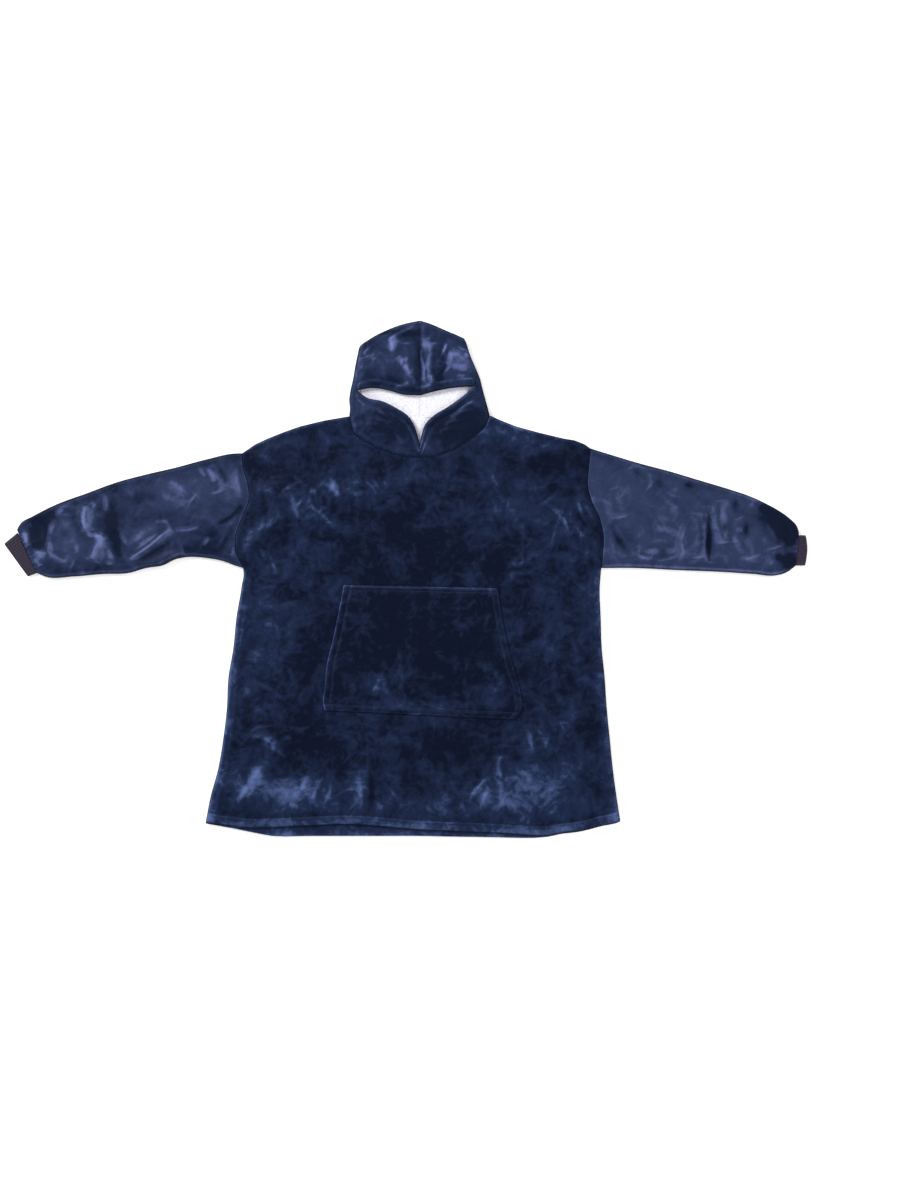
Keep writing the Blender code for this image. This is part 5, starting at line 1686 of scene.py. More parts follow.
class HoodHalf:
    """Plans and surfaces of one hood panel: cheek under the opening, crown over it, back below."""

    def __init__(self, side):
        self.side = side
        self.cheek_foot = neck_edge(side, front=True)
        self.back_foot = neck_edge(side, front=False)
        outline = {"x": HOOD_SIDES["left" if side < 0 else "right"], "y": HOOD_SIDES["y"]}
        self.low_side = chained(stretch(self.cheek_foot, 0, 1), stretch(outline, 0, LOW_SIDE_POINTS))
        self.high_side = stretch(outline, LOW_SIDE_POINTS - 1, None)
        corner = stretch(self.high_side, 0, 1)
        self.upper = chained(corner, at_centre(OPENING_UPPER[side], side))
        self.lower = chained(corner, at_centre(OPENING_LOWER[side], side))
        self.top = at_centre(HOOD_TOPS[side], side)

    def opening(self, route, parts):
        """An edge of the face opening, whose tip, the route's second point, is at OPENING_TIP."""
        return in_two(stretch(route, 0, 2), stretch(route, 1, None), OPENING_TIP, parts)

    def cheek(self, across, along):
        return patch_between(
            lambda at: trace(self.cheek_foot, at, smooth=False),
            lambda at: self.opening(self.lower, at),
            self.low_side,
            straight(self.cheek_foot, self.lower),
            across,
            along,
        )

    def crown(self, across, along):
        return patch_between(
            lambda at: self.opening(self.upper, at),
            self.top,
            self.high_side,
            straight(self.upper, self.top),
            across,
            along,
        )

    def back(self, across, along):
        return patch_between(
            lambda at: trace(self.back_foot, at, smooth=False),
            self.top,
            lambda at: in_two(self.low_side, self.high_side, LOW_SIDE_SHARE, at),
            straight(self.back_foot, self.top),
            across,
            along,
        )

    def surface(self, plan, across, from_slit, from_top, from_foot, crease_height):
        """Outer height, inner height, and nap and painted light of the upper layer."""
        x, y = plan[..., 0], plan[..., 1]
        side_away = across[None, :] * HOOD_HALF
        nearest = np.minimum(side_away, from_top)
        rises = smooth_step(from_foot / HOOD_RISE)
        raised = fold_relief(HOOD_FOLDS, x, y) * rises
        up_from_foot = smooth_step(from_foot / HOOD_FADE)
        open_part = smooth_step(side_away / EDGE_FADE) * smooth_step(from_top / EDGE_FADE) * up_from_foot
        swell = HOOD_SWELL * open_part
        groove = HOOD_GROOVE * np.exp(-((np.abs(x - CENTRE_FRONT) / GROOVE_WIDTH) ** 2)) * up_from_foot
        slit = smooth_step((across[None, :] - OPENING_TIP) / OPENING_TIP_FADE)
        roll = OPENING_ROLL * np.sin(np.pi * np.clip(from_slit / OPENING_BAND, 0.0, 1.0)) * slit
        roll = roll - stitch_sink(from_slit, OPENING_BAND, "opening") * slit
        roll = roll - edge_drop(from_slit, OPENING_EDGE_RADIUS, OPENING_EDGE_DROP) * slit
        base = HOOD_UNDER + HOOD_CLOTH - HOOD_FOOT_DIP * (1 - smooth_step(from_foot / HOOD_FOOT_REACH))
        away = smooth_step(nearest / HOOD_FADE) * rises
        thin = fold_relief(HOOD_CREASES, x, y) * away
        pressed = wrinkled(x, y, HOOD_WRINKLES) * away
        high = base + raised + swell - groove + roll
        high = high + crease_height * (thin + CRUSH_HEIGHT["hood"] * pressed)
        high = high - edge_drop(nearest, HOOD_ROUND, 1.0) * (high - HOOD_FOLD_LEVEL)
        slack = np.maximum(raised + swell - groove - FOLD_SLACK, 0.0)
        slack = slack * smooth_step((nearest - HOOD_INNER_START) / HOOD_FADE)
        sunk = (HOOD_UNDER - FRONT_UNDER) * (1 - rises)
        # Nap patches, with painted light: creases and wrinkles, painted shade at the folded edges and the
        # foot, a painted highlight along the opening
        shade = HOOD_SHADE + swell_relief(HOOD_NAP_AND_PAINTED_LIGHT, x, y) + CREASE_SHADE * thin
        shade = shade + CRUSH_NAP_AND_HIGHLIGHT["hood"] * pressed + edge_lighter_or_darker(HOOD_EDGE_SHADE, nearest)
        shade = shade + edge_lighter_or_darker(OPENING_HIGHLIGHT, from_slit) * slit + edge_lighter_or_darker(HOOD_FOOT_SHADE, from_foot)
        return high, HOOD_UNDER + slack - sunk, shade

    def lengths(self, plan):
        """Length of each column of a plan."""
        return np.hypot(*(plan[-1] - plan[0]).T)[None, :]

    def drawn_in(self, plan, away):
        """The plan of the inner side, which stays inside the folded edges."""
        run = HOOD_MIDDLE - plan
        run = run / np.hypot(run[..., 0], run[..., 1])[..., None]
        return plan + run * np.maximum(FOLD_INSET - away / 2, 0.0)[..., None]

    def patches(self, crease_height):
        """Cheek, crown and back, which meet in the fold at the side and along the top."""
        low = graded(0.0, OPENING_TIP, HOOD_STEP / HOOD_HALF, near=HOOD_FOLD_RUN / HOOD_HALF)
        high = graded(OPENING_TIP, 1.0, HOOD_STEP / HOOD_HALF, far=HOOD_CENTRE_RUN / HOOD_HALF)
        across = np.concatenate([low, high[1:]])
        near_slit = OPENING_RUN / CHEEK_LONGEST
        cheek_rows = graded(0.0, 1.0, HOOD_STEP / CHEEK_LENGTH, near=HOOD_FOOT_SHARES, far=near_slit)
        near_slit = OPENING_RUN / CROWN_LONGEST
        near_top = HOOD_FOLD_RUN / CROWN_LENGTH
        crown_rows = graded(0.0, 1.0, HOOD_STEP / CROWN_LENGTH, near=near_slit, far=near_top)
        back_rows = np.concatenate(
            [cheek_rows * LOW_SIDE_SHARE, LOW_SIDE_SHARE + crown_rows[1:] * (1 - LOW_SIDE_SHARE)]
        )
        side_away = across[None, :] * HOOD_HALF

        cheek = self.cheek(across, cheek_rows)
        length = self.lengths(cheek)
        far = np.full(cheek.shape[:2], OUT_OF_REACH)
        from_slit = (1 - cheek_rows)[:, None] * length
        from_foot = cheek_rows[:, None] * np.maximum(length, CHEEK_SHORTEST)
        cheek_high, cheek_low, cheek_nap_and_painted_light = self.surface(
            cheek, across, from_slit, far, from_foot, crease_height
        )
        cheek_away = side_away + np.zeros_like(cheek_high)

        crown = self.crown(across, crown_rows)
        length = self.lengths(crown)
        far = np.full(crown.shape[:2], OUT_OF_REACH)
        from_slit = crown_rows[:, None] * length
        from_top = (1 - crown_rows)[:, None] * length
        crown_high, crown_low, crown_nap_and_painted_light = self.surface(
            crown, across, from_slit, from_top, far, crease_height
        )
        crown_away = np.minimum(side_away, from_top)

        back = self.back(across, back_rows)
        back_away = np.minimum(side_away, (1 - back_rows)[:, None] * self.lengths(back))
        wrinkles = crush(back[..., 0], back[..., 1], *HOOD_BACK_DENTS) * smooth_step(back_away / HOOD_FADE)
        dents = CRUSH_HEIGHT["hood_back"] * wrinkles
        back_high = dents + edge_drop(back_away, HOOD_BACK_ROUND, 1.0) * (HOOD_FOLD_LEVEL - dents)
        back_low = np.full_like(back_high, CLOTH)
        # Wrinkles painted lighter on their ridges, a painted highlight
        back_nap_and_painted_light = HOOD_SHADE + CRUSH_NAP_AND_HIGHLIGHT["hood_back"] * wrinkles
        back_nap_and_painted_light[:, 0] = np.concatenate([cheek_nap_and_painted_light[:, 0], crown_nap_and_painted_light[1:, 0]])
        back_nap_and_painted_light[-1] = crown_nap_and_painted_light[-1]
        for level in (cheek_low, crown_low, back_low):
            level[:, 0] = HOOD_FOLD_LEVEL
        for level in (crown_low, back_low):
            level[-1] = HOOD_FOLD_LEVEL
        up = self.side < 0
        return [
            (stand(cheek, cheek_high), stand(self.drawn_in(cheek, cheek_away), cheek_low), cheek_nap_and_painted_light, up),
            (stand(crown, crown_high), stand(self.drawn_in(crown, crown_away), crown_low), crown_nap_and_painted_light, up),
            (stand(back, back_high), stand(self.drawn_in(back, back_away), back_low), back_nap_and_painted_light, not up),
        ]

    def stitch_route(self, over, crease_height):
        """Topstitches a band away from the upper edge of the opening, or from the lower."""
        plan_of = self.crown if over else self.cheek
        far = np.full((1, 1), OUT_OF_REACH)
        from_slit = np.full((1, 1), OPENING_BAND)
        points = []
        for part in np.linspace(*OPENING_STITCH_SPAN):
            across = np.array([part])
            ends = plan_of(across, np.array([0.0, 1.0]))
            length = np.hypot(*(ends[1] - ends[0])[0])
            share = min(OPENING_BAND / length, OPENING_BAND_SHARE)
            row = np.array([share if over else 1 - share])
            plan = plan_of(across, row)
            from_foot = far if over else np.full((1, 1), row[0] * length)
            high, _, _ = self.surface(plan, across, from_slit, far, from_foot, crease_height)
            points.append(stand(plan, high)[0, 0])
        return np.array(points)


def lining_patch(corners, seed, faces_up):
    """A piece of pile lining between four corners: low left, low right, high left, high right."""
    corners = np.array(corners)
    wide = abs(corners[1, 0] - corners[0, 0])
    tall = abs(corners[3, 1] - corners[1, 1])
    across = graded_shares(wide, LINING_STEP, LINING_RUN, LINING_RUN)
    along = graded_shares(tall, LINING_STEP, LINING_RUN, LINING_RUN)
    s = across[None, :, None]
    t = along[:, None, None]
    plan = (1 - t) * ((1 - s) * corners[0] + s * corners[1])
    plan = plan + t * ((1 - s) * corners[2] + s * corners[3])
    x, y = plan[..., 0], plan[..., 1]
    edge = np.minimum(np.minimum(s, 1 - s) * wide, np.minimum(t, 1 - t) * tall)[..., 0]
    lumps = 1.0 - np.abs(rolling(x / PILE_LUMP, y / PILE_LUMP, seed))
    small = rolling(x / CURL_SIZE, y / CURL_SIZE, seed + 1)
    curl = np.clip(lumps + CURL_SHARE * small, 0.0, CURL_MOST) - CURL_MEAN
    soft = KNIT_WAVE_HEIGHT * rolling(x / KNIT_WAVE, y / KNIT_WAVE, seed + 2)
    over = CLOTH + SEAM + LINING - PILE_BELOW_TOP + soft + PILE_HEIGHT * curl
    over = over - edge_drop(edge, LINING_EDGE_RADIUS, LINING_EDGE_DROP)
    # Painted shadow at the opening's ends and its point, where the hood's edges shade the lining
    from_end = LINING_END - np.abs(x - CENTRE_FRONT)
    shaded = LINING_END_SHADE * (1 - smooth_step(from_end / LINING_END_FADE))
    shaded = shaded + LINING_POINT_SHADE * (1 - smooth_step((y - LINING_POINT) / LINING_POINT_FADE))
    shade = np.clip(PILE_SHADE + PILE_SHADE_CURL * curl - shaded, *PILE_SHADE_SPAN)
    return stand(plan, over), stand(plan, np.full_like(x, CLOTH + SEAM)), shade, faces_up


def linear_colour(code):
    """An sRGB hex value as a linear colour."""
    parts = [int(code[at : at + 2], 16) / 255 for at in (0, 2, 4)]
    return tuple(c / 12.92 if c <= 0.04045 else ((c + 0.055) / 1.055) ** 2.4 for c in parts)


def add_node(tree, kind, inputs=None, **settings):
    """Adds a node, sets its properties, and sets or links its inputs."""
    node = tree.nodes.new(kind)
    for name, value in settings.items():
        setattr(node, name, value)
    for key, value in (inputs or {}).items():
        if isinstance(value, bpy.types.NodeSocket):
            tree.links.new(value, node.inputs[key])
        else:
            node.inputs[key].default_value = value
    return node


def new_material(name):
    """A material, its empty node tree, and the place on the object that its patterns read."""
    material = bpy.data.materials.new(name)
    material.use_nodes = True
    tree = material.node_tree
    tree.nodes.clear()
    return material, tree, add_node(tree, "ShaderNodeTexCoord").outputs["Object"]


def shaded(value):
    return (*value[:3], 1.0)


def crushed_plush(name, dark, middle, light, patch_size, unevenness):
    """Navy crushed plush, a warp-knit flannel pressed so that its nap lies in all directions.

    The eye sees a near-black ground, soft blue patches where the nap leans to the light, pale creases
    and tilts painted as highlights from the mesh, and a bright bloom of sheen wherever it turns away.
    """
    material, tree, place = new_material(name)
    # The mesh's nap and painted light: nap patches, painted highlights on creases, wrinkles, tilts and edges,
    # painted shade in troughs and steep turns
    nap = add_node(tree, "ShaderNodeAttribute", attribute_name="nap").outputs["Fac"]
    drift = add_node(
        tree, "ShaderNodeTexNoise", {"Vector": place, "Scale": 1 / (1.3 * patch_size), "Detail": 1.0}
    ).outputs["Color"]
    reach = (0.9 * patch_size,) * 3
    bent = add_node(
        tree, "ShaderNodeVectorMath", {0: drift, 1: reach, 2: place}, operation="MULTIPLY_ADD"
    ).outputs[0]
    cloud = add_node(
        tree, "ShaderNodeTexNoise", {"Vector": bent, "Scale": 1 / patch_size, "Detail": 2.0, "Roughness": 0.5}
    ).outputs["Fac"]
    blot = add_node(
        tree,
        "ShaderNodeTexNoise",
        {
            "Vector": bent,
            "Scale": 1 / (0.30 * patch_size),
            "Detail": 3.0,
            "Roughness": 0.62,
            "Distortion": 0.4,
        },
    ).outputs["Fac"]
    fibre = add_node(
        tree,
        "ShaderNodeTexNoise",
        {"Vector": place, "Scale": 1 / FIBRE_CLUMP, "Detail": 2.0, "Roughness": 0.7},
    ).outputs["Fac"]
    lift = nap
    for pattern, low, high in (
        (cloud, 0.0, 0.40 * unevenness),
        (blot, -0.20 * unevenness, 0.20 * unevenness),
        (fibre, -0.04, 0.04),
    ):
        share = add_node(
            tree,
            "ShaderNodeMapRange",
            {"Value": pattern, "From Min": 0.3, "From Max": 0.7, "To Min": low, "To Max": high},
        ).outputs["Result"]
        lift = add_node(
            tree, "ShaderNodeMath", {0: lift, 1: share}, operation="ADD", use_clamp=pattern == fibre
        ).outputs[0]
    tone = add_node(tree, "ShaderNodeValToRGB", {"Fac": lift})
    ramp = tone.color_ramp
    ramp.elements[0].color = shaded(dark)
    ramp.elements[1].color = shaded(light)
    ramp.elements.new(0.45).color = shaded(middle)
    soft = add_node(tree, "ShaderNodeBump", {"Height": blot, "Strength": 0.5, "Distance": 0.0030})
    pile = add_node(
        tree,
        "ShaderNodeBump",
        {"Height": fibre, "Strength": 0.3, "Distance": 0.0005, "Normal": soft.outputs[0]},
    )
    shader = add_node(
        tree,
        "ShaderNodeBsdfPrincipled",
        {
            "Base Color": tone.outputs["Color"],
            "Roughness": 0.6,
            "Specular IOR Level": 0.06,
            "Sheen Weight": 0.30,
            "Sheen Roughness": 0.25,
            "Sheen Tint": shaded(linear_colour(SHEEN_CODE)),
            "Normal": pile.outputs[0],
        },
    )
    add_node(tree, "ShaderNodeOutputMaterial", {"Surface": shader.outputs[0]})
    return material


def curly_pile(name, bright, shade):
    """White pile lining, a knit with short curled tufts that shade each other."""
    material, tree, place = new_material(name)
    nap = add_node(tree, "ShaderNodeAttribute", attribute_name="nap").outputs["Fac"]
    tufts = add_node(
        tree,
        "ShaderNodeTexNoise",
        {"Vector": place, "Scale": 1 / PILE_TUFT, "Detail": 3.0, "Roughness": 0.6, "Distortion": 1.4},
    ).outputs["Fac"]
    # Painted shade: the pile darker between its tufts, and wherever the lining's painted shadow lies
    mixed = add_node(tree, "ShaderNodeMath", {0: nap, 1: 0.5, 2: tufts}, operation="MULTIPLY_ADD").outputs[0]
    light = add_node(
        tree, "ShaderNodeMapRange", {"Value": mixed, "From Min": 0.40, "From Max": 1.0}
    ).outputs["Result"]
    colour = add_node(
        tree, "ShaderNodeMix", {0: light, 6: shaded(shade), 7: shaded(bright)}, data_type="RGBA"
    ).outputs[2]
    bump = add_node(tree, "ShaderNodeBump", {"Height": tufts, "Strength": 0.8, "Distance": 0.0012})
    shader = add_node(
        tree,
        "ShaderNodeBsdfPrincipled",
        {
            "Base Color": colour,
            "Roughness": 0.95,
            "Specular IOR Level": 0.15,
            "Sheen Weight": 0.3,
            "Sheen Roughness": 0.6,
            "Normal": bump.outputs[0],
        },
    )
    add_node(tree, "ShaderNodeOutputMaterial", {"Surface": shader.outputs[0]})
    return material


def rib_knit(name, dark, light):
    """Rib knit of cotton and elastane: matte, with fine loops along each raised rib."""
    material, tree, place = new_material(name)
    rib = add_node(tree, "ShaderNodeAttribute", attribute_name="nap").outputs["Fac"]
    loops = add_node(
        tree, "ShaderNodeTexNoise", {"Vector": place, "Scale": 1 / KNIT_LOOP, "Detail": 2.0, "Roughness": 0.6}
    ).outputs["Fac"]
    # Painted highlight on the ribs' tops and painted shade between them, over the loops
    mixed = add_node(tree, "ShaderNodeMath", {0: loops, 1: rib}, operation="MULTIPLY").outputs[0]
    colour = add_node(
        tree, "ShaderNodeMix", {0: mixed, 6: shaded(dark), 7: shaded(light)}, data_type="RGBA"
    ).outputs[2]
    bump = add_node(tree, "ShaderNodeBump", {"Height": loops, "Strength": 0.5, "Distance": 0.0006})
    shader = add_node(
        tree,
        "ShaderNodeBsdfPrincipled",
        {
            "Base Color": colour,
            "Roughness": 0.85,
            "Specular IOR Level": 0.2,
            "Sheen Weight": 0.25,
            "Sheen Roughness": 0.5,
            "Normal": bump.outputs[0],
        },
    )
    add_node(tree, "ShaderNodeOutputMaterial", {"Surface": shader.outputs[0]})
    return material


def spun_thread(name, colour):
    """Spun polyester sewing thread, with a slight gloss along each stitch."""
    material, tree, place = new_material(name)
    twist = add_node(
        tree, "ShaderNodeTexNoise", {"Vector": place, "Scale": 1 / THREAD_TWIST, "Detail": 1.0}
    ).outputs["Fac"]
    bump = add_node(tree, "ShaderNodeBump", {"Height": twist, "Strength": 0.4, "Distance": 0.0002})
    # Painted shade: darker where the twist lies low, between its turns
    between = shaded(tuple(0.7 * c for c in colour[:3]))
    tone = add_node(
        tree, "ShaderNodeMix", {0: twist, 6: between, 7: shaded(colour)}, data_type="RGBA"
    ).outputs[2]
    shader = add_node(
        tree,
        "ShaderNodeBsdfPrincipled",
        {"Base Color": tone, "Roughness": 0.5, "Normal": bump.outputs[0]},
    )
    add_node(tree, "ShaderNodeOutputMaterial", {"Surface": shader.outputs[0]})
    return material


def studio_paper(name, colour):
    """Matte white background paper that glows a little, so that it shows no grey."""
    material, tree, place = new_material(name)
    grain = add_node(
        tree, "ShaderNodeTexNoise", {"Vector": place, "Scale": 1 / PAPER_GRAIN, "Detail": 2.0}
    ).outputs["Fac"]
    fleck = shaded(tuple(0.985 * c for c in colour[:3]))
    tone = add_node(
        tree, "ShaderNodeMix", {0: grain, 6: fleck, 7: shaded(colour)}, data_type="RGBA"
    ).outputs[2]
    shader = add_node(
        tree,
        "ShaderNodeBsdfPrincipled",
        {
            "Base Color": tone,
            "Roughness": 0.9,
            "Specular IOR Level": 0.1,
            "Emission Color": shaded(colour),
            "Emission Strength": 0.35,
        },
    )
    add_node(tree, "ShaderNodeOutputMaterial", {"Surface": shader.outputs[0]})
    return material


def material_named(name, make, *values):
    """The material of that name, made only once."""
    return bpy.data.materials.get(name) or make(name, *values)


def navy_plush(part, colours):
    """The plush of the body, the sleeves or the hood."""
    name, tones, patch_size, unevenness = PLUSHES[part]
    tones = [getattr(colours, tone) for tone in tones.split()]
    return material_named(name, crushed_plush, *tones, patch_size, unevenness)


def white_pile(colours):
    return material_named("white curly pile", curly_pile, colours.pile_white, colours.pile_shade)


def finish_piece(piece, node):
    """Rides on the root and stands for its node, whose part it hides."""
    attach(piece, "root")
    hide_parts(node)


def stitch_tree(material):
    """Node tree that sews a stitch at each pitch along the edges of a mesh."""
    tree = bpy.data.node_groups.new("Topstitch row", "GeometryNodeTree")
    tree.interface.new_socket("Geometry", in_out="INPUT", socket_type="NodeSocketGeometry")
    for name, value in (("Pitch", 0.0045), ("Stitch Length", 0.0032), ("Thread Radius", 0.0005)):
        socket = tree.interface.new_socket(name, in_out="INPUT", socket_type="NodeSocketFloat")
        socket.default_value = value
    tree.interface.new_socket("Geometry", in_out="OUTPUT", socket_type="NodeSocketGeometry")
    given = add_node(tree, "NodeGroupInput").outputs
    curve = add_node(tree, "GeometryNodeMeshToCurve", {"Mesh": given["Geometry"]}).outputs[0]
    sampled = add_node(
        tree, "GeometryNodeResampleCurve", {"Curve": curve, "Length": given["Pitch"]}, mode="LENGTH"
    ).outputs[0]
    tangent = add_node(tree, "GeometryNodeInputTangent").outputs[0]
    turn = add_node(tree, "FunctionNodeAlignRotationToVector", {"Vector": tangent}, axis="X").outputs[0]
    bead = add_node(tree, "GeometryNodeMeshUVSphere", {"Segments": 6, "Rings": 4, "Radius": 1.0}).outputs[0]
    half = add_node(
        tree, "ShaderNodeMath", {0: given["Stitch Length"], 1: 0.5}, operation="MULTIPLY"
    ).outputs[0]
    thread = given["Thread Radius"]
    size = add_node(tree, "ShaderNodeCombineXYZ", {"X": half, "Y": thread, "Z": thread}).outputs[0]
    placed = add_node(
        tree,
        "GeometryNodeInstanceOnPoints",
        {"Points": sampled, "Instance": bead, "Rotation": turn, "Scale": size},
    ).outputs[0]
    real = add_node(tree, "GeometryNodeRealizeInstances", {"Geometry": placed}).outputs[0]
    smooth = add_node(tree, "GeometryNodeSetShadeSmooth", {"Geometry": real}).outputs[0]
    dressed = add_node(tree, "GeometryNodeSetMaterial", {"Geometry": smooth, "Material": material})
    add_node(tree, "NodeGroupOutput", {"Geometry": dressed.outputs[0]})
    return tree


def sewn_rows(name, routes, tree, settings):
    """Rows of stitches along routes, as one plain mesh."""
    points = []
    edges = []
    for route in routes:
        start = len(points)
        above = STITCH_REST * settings.thread_radius
        raised = np.array(route) - np.array([CENTRE_X, CENTRE_Y, -above])
        points.extend(raised.tolist())
        edges.extend((start + k, start + k + 1) for k in range(len(route) - 1))
    mesh = bpy.data.meshes.new(name)
    mesh.from_pydata(points, edges, [])
    guide = bpy.data.objects.new(name, mesh)
    bpy.context.scene.collection.objects.link(guide)
    rows = guide.modifiers.new("Topstitch row", "NODES")
    rows.node_group = tree
    wanted = {
        "Pitch": settings.stitch_pitch,
        "Stitch Length": settings.stitch_length,
        "Thread Radius": settings.thread_radius,
    }
    for item in tree.interface.items_tree:
        if item.in_out == "INPUT" and item.name in wanted:
            rows[item.identifier] = wanted[item.name]
    graph = bpy.context.evaluated_depsgraph_get()
    plain = bpy.data.meshes.new_from_object(guide.evaluated_get(graph))
    guide.modifiers.clear()
    guide.data = plain
    return guide


class HoodieCloth(bpy.types.PropertyGroup):
    crease_height: bpy.props.FloatProperty(
        name="Crease height", description="Height of the finer creases, as a share of their own", default=1.0
    )
    rib_rise: bpy.props.FloatProperty(
        name="Rib rise", description="How far the cuffs' ribs stand up", default=RIB_RISE, unit="LENGTH"
    )
    stitch_pitch: bpy.props.FloatProperty(
        name="Stitch pitch",
        description="Distance from one topstitch to the next",
        default=0.0046,
        unit="LENGTH",
    )
    stitch_length: bpy.props.FloatProperty(
        name="Stitch length", description="Length of one topstitch", default=0.0034, unit="LENGTH"
    )
    thread_radius: bpy.props.FloatProperty(
        name="Thread radius", description="Radius of the sewing thread", default=0.00045, unit="LENGTH"
    )


def colour_property(name, description, code):
    colour = linear_colour(code)
    return bpy.props.FloatVectorProperty(
        name=name, description=description, subtype="COLOR", size=3, min=0.0, max=1.0, default=colour
    )


class HoodieColours(bpy.types.PropertyGroup):
    # Plush tones, mixed by each mesh's nap and painted light: the dark tones also stand for painted shade,
    # the light ones for painted highlights
    plush_dark: colour_property("Plush ground", "Body plush where the nap leans away", "030a1f")
    plush_middle: colour_property("Plush", "Body plush where the nap stands up", "182440")
    plush_light: colour_property("Plush nap", "Plush where the nap leans to the light", "4b5c88")
    sleeve_dark: colour_property("Sleeve ground", "Sleeve plush where the nap leans away", "081228")
    sleeve_middle: colour_property("Sleeve plush", "Sleeve plush where the nap stands up", "283250")
    sleeve_light: colour_property("Sleeve nap", "Sleeve plush where the nap leans to the light", "606a96")
    hood_middle: colour_property("Hood plush", "Hood plush where the nap stands up", "232e4c")
    hood_light: colour_property("Hood nap", "Hood plush where the nap leans to the light", "626a9c")
    # Pile: its tips, and a painted shade for the hollows between its tufts and for the lining's shaded ends
    # and point
    pile_white: colour_property("Pile", "Tips of the lining's pile", "ecebf0")
    pile_shade: colour_property("Pile shade", "Roots of the lining's pile", "c4c2cc")
    # Rib: the shaded and the lit tone of one knit, for painted shade between the ribs and painted highlights
    # on their tops
    rib_dark: colour_property("Rib ground", "Cuffs between their ribs", "1c1624")
    rib_light: colour_property("Rib", "Tops of the cuffs' ribs", "362c41")
    thread: colour_property("Thread", "Sewing thread", "1d2848")
    paper: colour_property("Floor", "Floor of the studio", "fbfaf8")


class HOODIE_OT_body(bpy.types.Operator):
    """Builds the front panel and the back panel"""

    bl_idname = "hoodie.body"
    bl_label = "Body panels"

    def execute(self, context):
        cloth, colours = context.scene.hoodie_cloth, context.scene.hoodie_colours
        plush, pile = navy_plush("body", colours), white_pile(colours)
        back = panel_wall("back_panel_plush", back_panel_patch(), plush, pile, turned_rows=len(HEM_RUN))
        front = panel_wall("front_panel_plush", front_panel_patch(cloth.crease_height), plush, pile)
        finish_piece(back, "back_panel")
        finish_piece(front, "front_panel")
        return {"FINISHED"}


class HOODIE_OT_pocket(bpy.types.Operator):
    """Builds the pocket on the front panel"""

    bl_idname = "hoodie.pocket"
    bl_label = "Pocket"

    def execute(self, context):
        colours = context.scene.hoodie_colours
        plush, pile = navy_plush("body", colours), white_pile(colours)
        pocket = panel_wall("pocket_plush", pocket_patch(), plush, pile)
        finish_piece(pocket, "pocket")
        return {"FINISHED"}


class HOODIE_OT_sleeves(bpy.types.Operator):
    """Builds the two drop-shoulder sleeves"""

    bl_idname = "hoodie.sleeves"
    bl_label = "Sleeves"

    def execute(self, context):
        cloth, colours = context.scene.hoodie_cloth, context.scene.hoodie_colours
        plush, pile = navy_plush("sleeve", colours), white_pile(colours)
        for side, name in ((-1, "sleeve_left"), (1, "sleeve_right")):
            sleeve = tube_wall(name + "_plush", sleeve_patches(side, cloth.crease_height), plush, pile)
            finish_piece(sleeve, name)
        return {"FINISHED"}


class HOODIE_OT_cuffs(bpy.types.Operator):
    """Builds the two rib cuffs"""

    bl_idname = "hoodie.cuffs"
    bl_label = "Cuffs"

    def execute(self, context):
        cloth, colours = context.scene.hoodie_cloth, context.scene.hoodie_colours
        rib = material_named("dark rib knit", rib_knit, colours.rib_dark, colours.rib_light)
        for side, name in ((-1, "cuff_left"), (1, "cuff_right")):
            cuff = tube_wall(name + "_rib", cuff_patches(side, cloth.rib_rise), rib, rib)
            finish_piece(cuff, name)
        return {"FINISHED"}


class HOODIE_OT_hood(bpy.types.Operator):
    """Builds the two hood panels and the pile lining seen between them"""

    bl_idname = "hoodie.hood"
    bl_label = "Hood"

    def execute(self, context):
        cloth, colours = context.scene.hoodie_cloth, context.scene.hoodie_colours
        plush, pile = navy_plush("hood", colours), white_pile(colours)
        foot = BACK_NECK + LINING_GAP
        linings = {}
        for side, name in ((-1, "left"), (1, "right")):
            half = tube_wall(f"hood_{name}_plush", HoodHalf(side).patches(cloth.crease_height), plush, pile)
            finish_piece(half, "hood_" + name)
            outside, centre = HOOD_LINING_SIDE[side], CENTRE_FRONT + side * SEAM / 2
            low = [(outside, HOOD_LINING_LOW), (centre, foot)]
            high = [(outside, HOOD_LINING_TIP), (centre, HOOD_LINING_TOP)]
            linings["hood_lining_" + name] = (low + high, side < 0, half.name)
        (left, right), (low, high) = BACK_LINING["x"], BACK_LINING["y"]
        corners = [(left, low), (right, low), (left, high), (right, high)]
        linings["back_lining"] = (corners, True, "back_panel_plush")
        for node, (corners, faces_up, below) in linings.items():
            patch = lining_patch(corners, LINING_SEEDS[node], faces_up)
            finish_piece(panel_wall(node + "_pile", patch, pile, pile), node)
        return {"FINISHED"}


class HOODIE_OT_stitches(bpy.types.Operator):
    """Sews the topstitches of the hem, the pocket and the hood's opening"""

    bl_idname = "hoodie.stitches"
    bl_label = "Topstitches"

    def execute(self, context):
        cloth, colours = context.scene.hoodie_cloth, context.scene.hoodie_colours
        thread = material_named("navy sewing thread", spun_thread, colours.thread)
        tree = stitch_tree(thread)
        rows = {"hem_stitches": [hem_route(cloth.crease_height)], "pocket_stitches": pocket_routes()}
        for side, name in ((-1, "hood_left_stitches"), (1, "hood_right_stitches")):
            half = HoodHalf(side)
            rows[name] = [half.stitch_route(over, cloth.crease_height) for over in (True, False)]
        for name, routes in rows.items():
            sewn = sewn_rows(name, routes, tree, cloth)
            if not len(sewn.data.polygons):
                raise RuntimeError(name + " came out empty")
            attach(sewn, "root")
        return {"FINISHED"}


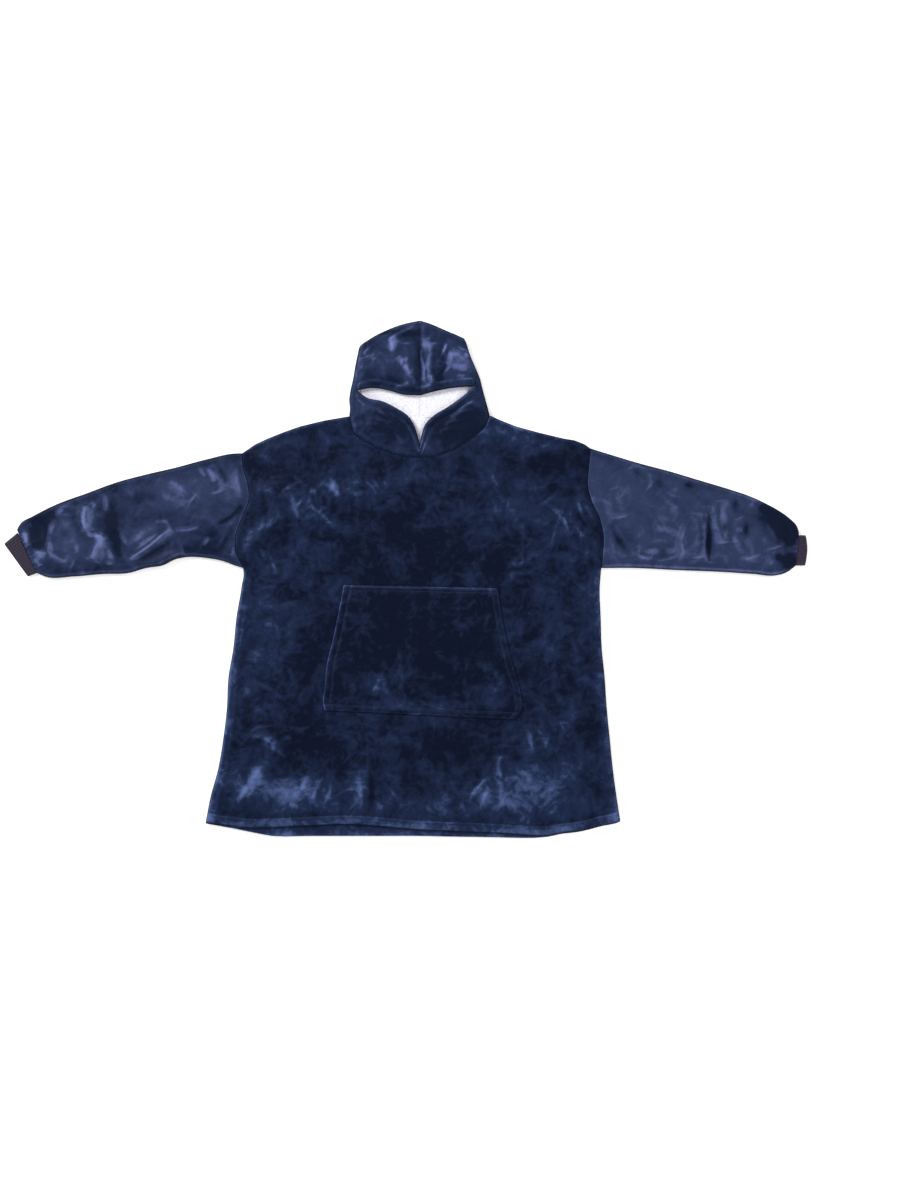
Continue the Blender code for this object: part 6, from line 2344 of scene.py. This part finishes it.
class HOODIE_OT_studio(bpy.types.Operator):
    """Sets up the pale floor, the soft lights and the camera over the garment"""

    bl_idname = "hoodie.studio"
    bl_label = "Studio"

    def execute(self, context):
        colours = context.scene.hoodie_colours
        floor = bpy.data.meshes.new("studio_floor")
        corners = [(x * FLOOR_REACH, y * FLOOR_REACH) for x, y in ((-1, -1), (1, -1), (1, 1), (-1, 1))]
        floor.from_pydata([(x, y, FLOOR_LEVEL) for x, y in corners], [], [(0, 1, 2, 3)])
        floor.materials.append(material_named("white paper", studio_paper, colours.paper))
        paper = bpy.data.objects.new("studio_floor", floor)
        context.scene.collection.objects.link(paper)

        world = bpy.data.worlds.new("pale studio")
        world.use_nodes = True
        sky = world.node_tree.nodes["Background"]
        sky.inputs["Color"].default_value = shaded(linear_colour(SKY_CODE))
        sky.inputs["Strength"].default_value = SKY_STRENGTH
        context.scene.world = world
        context.scene.view_settings.view_transform = "Standard"

        for name, place, size, power in LAMPS:
            light = bpy.data.lights.new(name, "AREA")
            light.shape = "DISK"
            light.size = size
            light.energy = power
            lamp = bpy.data.objects.new(name, light)
            lamp.location = place
            aim = -lamp.location
            lamp.rotation_euler = aim.to_track_quat("-Z", "Y").to_euler()
            context.scene.collection.objects.link(lamp)

        camera = bpy.data.cameras.new("overhead")
        camera.lens = LENS_MM
        camera.sensor_width = SENSOR_MM
        camera.clip_start = CLIP_START
        camera.clip_end = CLIP_END
        eye = bpy.data.objects.new("overhead", camera)
        across = (PHOTO_WIDTH_PX / 2 - PHOTO_CENTRE_FRONT_PX) * METRES_PER_PX - CENTRE_X
        up = (PHOTO_HEM_PX - PHOTO_HEIGHT_PX / 2) * METRES_PER_PX - CENTRE_Y
        distance = PHOTO_HEIGHT_PX * METRES_PER_PX * LENS_MM / SENSOR_MM
        eye.location = (across, up, GARMENT_LEVEL + distance)
        context.scene.collection.objects.link(eye)
        context.scene.camera = eye
        return {"FINISHED"}


class HOODIE_PT_sidebar(bpy.types.Panel):
    """Lists the hoodie's sizes, colours and pieces"""

    bl_idname = "HOODIE_PT_sidebar"
    bl_label = "Blanket Hoodie"
    bl_space_type = "VIEW_3D"
    bl_region_type = "UI"
    bl_category = "Hoodie"

    def draw(self, context):
        for group in (context.scene.hoodie_cloth, context.scene.hoodie_colours):
            box = self.layout.box()
            for name in group.__annotations__:
                box.prop(group, name)
        for operator in OPERATORS:
            self.layout.operator(operator.bl_idname)


OPERATORS = (
    HOODIE_OT_studio,
    HOODIE_OT_body,
    HOODIE_OT_pocket,
    HOODIE_OT_sleeves,
    HOODIE_OT_cuffs,
    HOODIE_OT_hood,
    HOODIE_OT_stitches,
)
CLASSES = (HoodieCloth, HoodieColours, *OPERATORS, HOODIE_PT_sidebar)


def register():
    for one in CLASSES:
        bpy.utils.register_class(one)
    bpy.types.Scene.hoodie_cloth = bpy.props.PointerProperty(type=HoodieCloth)
    bpy.types.Scene.hoodie_colours = bpy.props.PointerProperty(type=HoodieColours)


def unregister():
    del bpy.types.Scene.hoodie_colours
    del bpy.types.Scene.hoodie_cloth
    for one in reversed(CLASSES):
        bpy.utils.unregister_class(one)


def main():
    register()
    bpy.ops.hoodie.studio()
    bpy.ops.hoodie.body()
    bpy.ops.hoodie.pocket()
    bpy.ops.hoodie.sleeves()
    bpy.ops.hoodie.cuffs()
    bpy.ops.hoodie.hood()
    bpy.ops.hoodie.stitches()


if __name__ == "__main__":
    main()
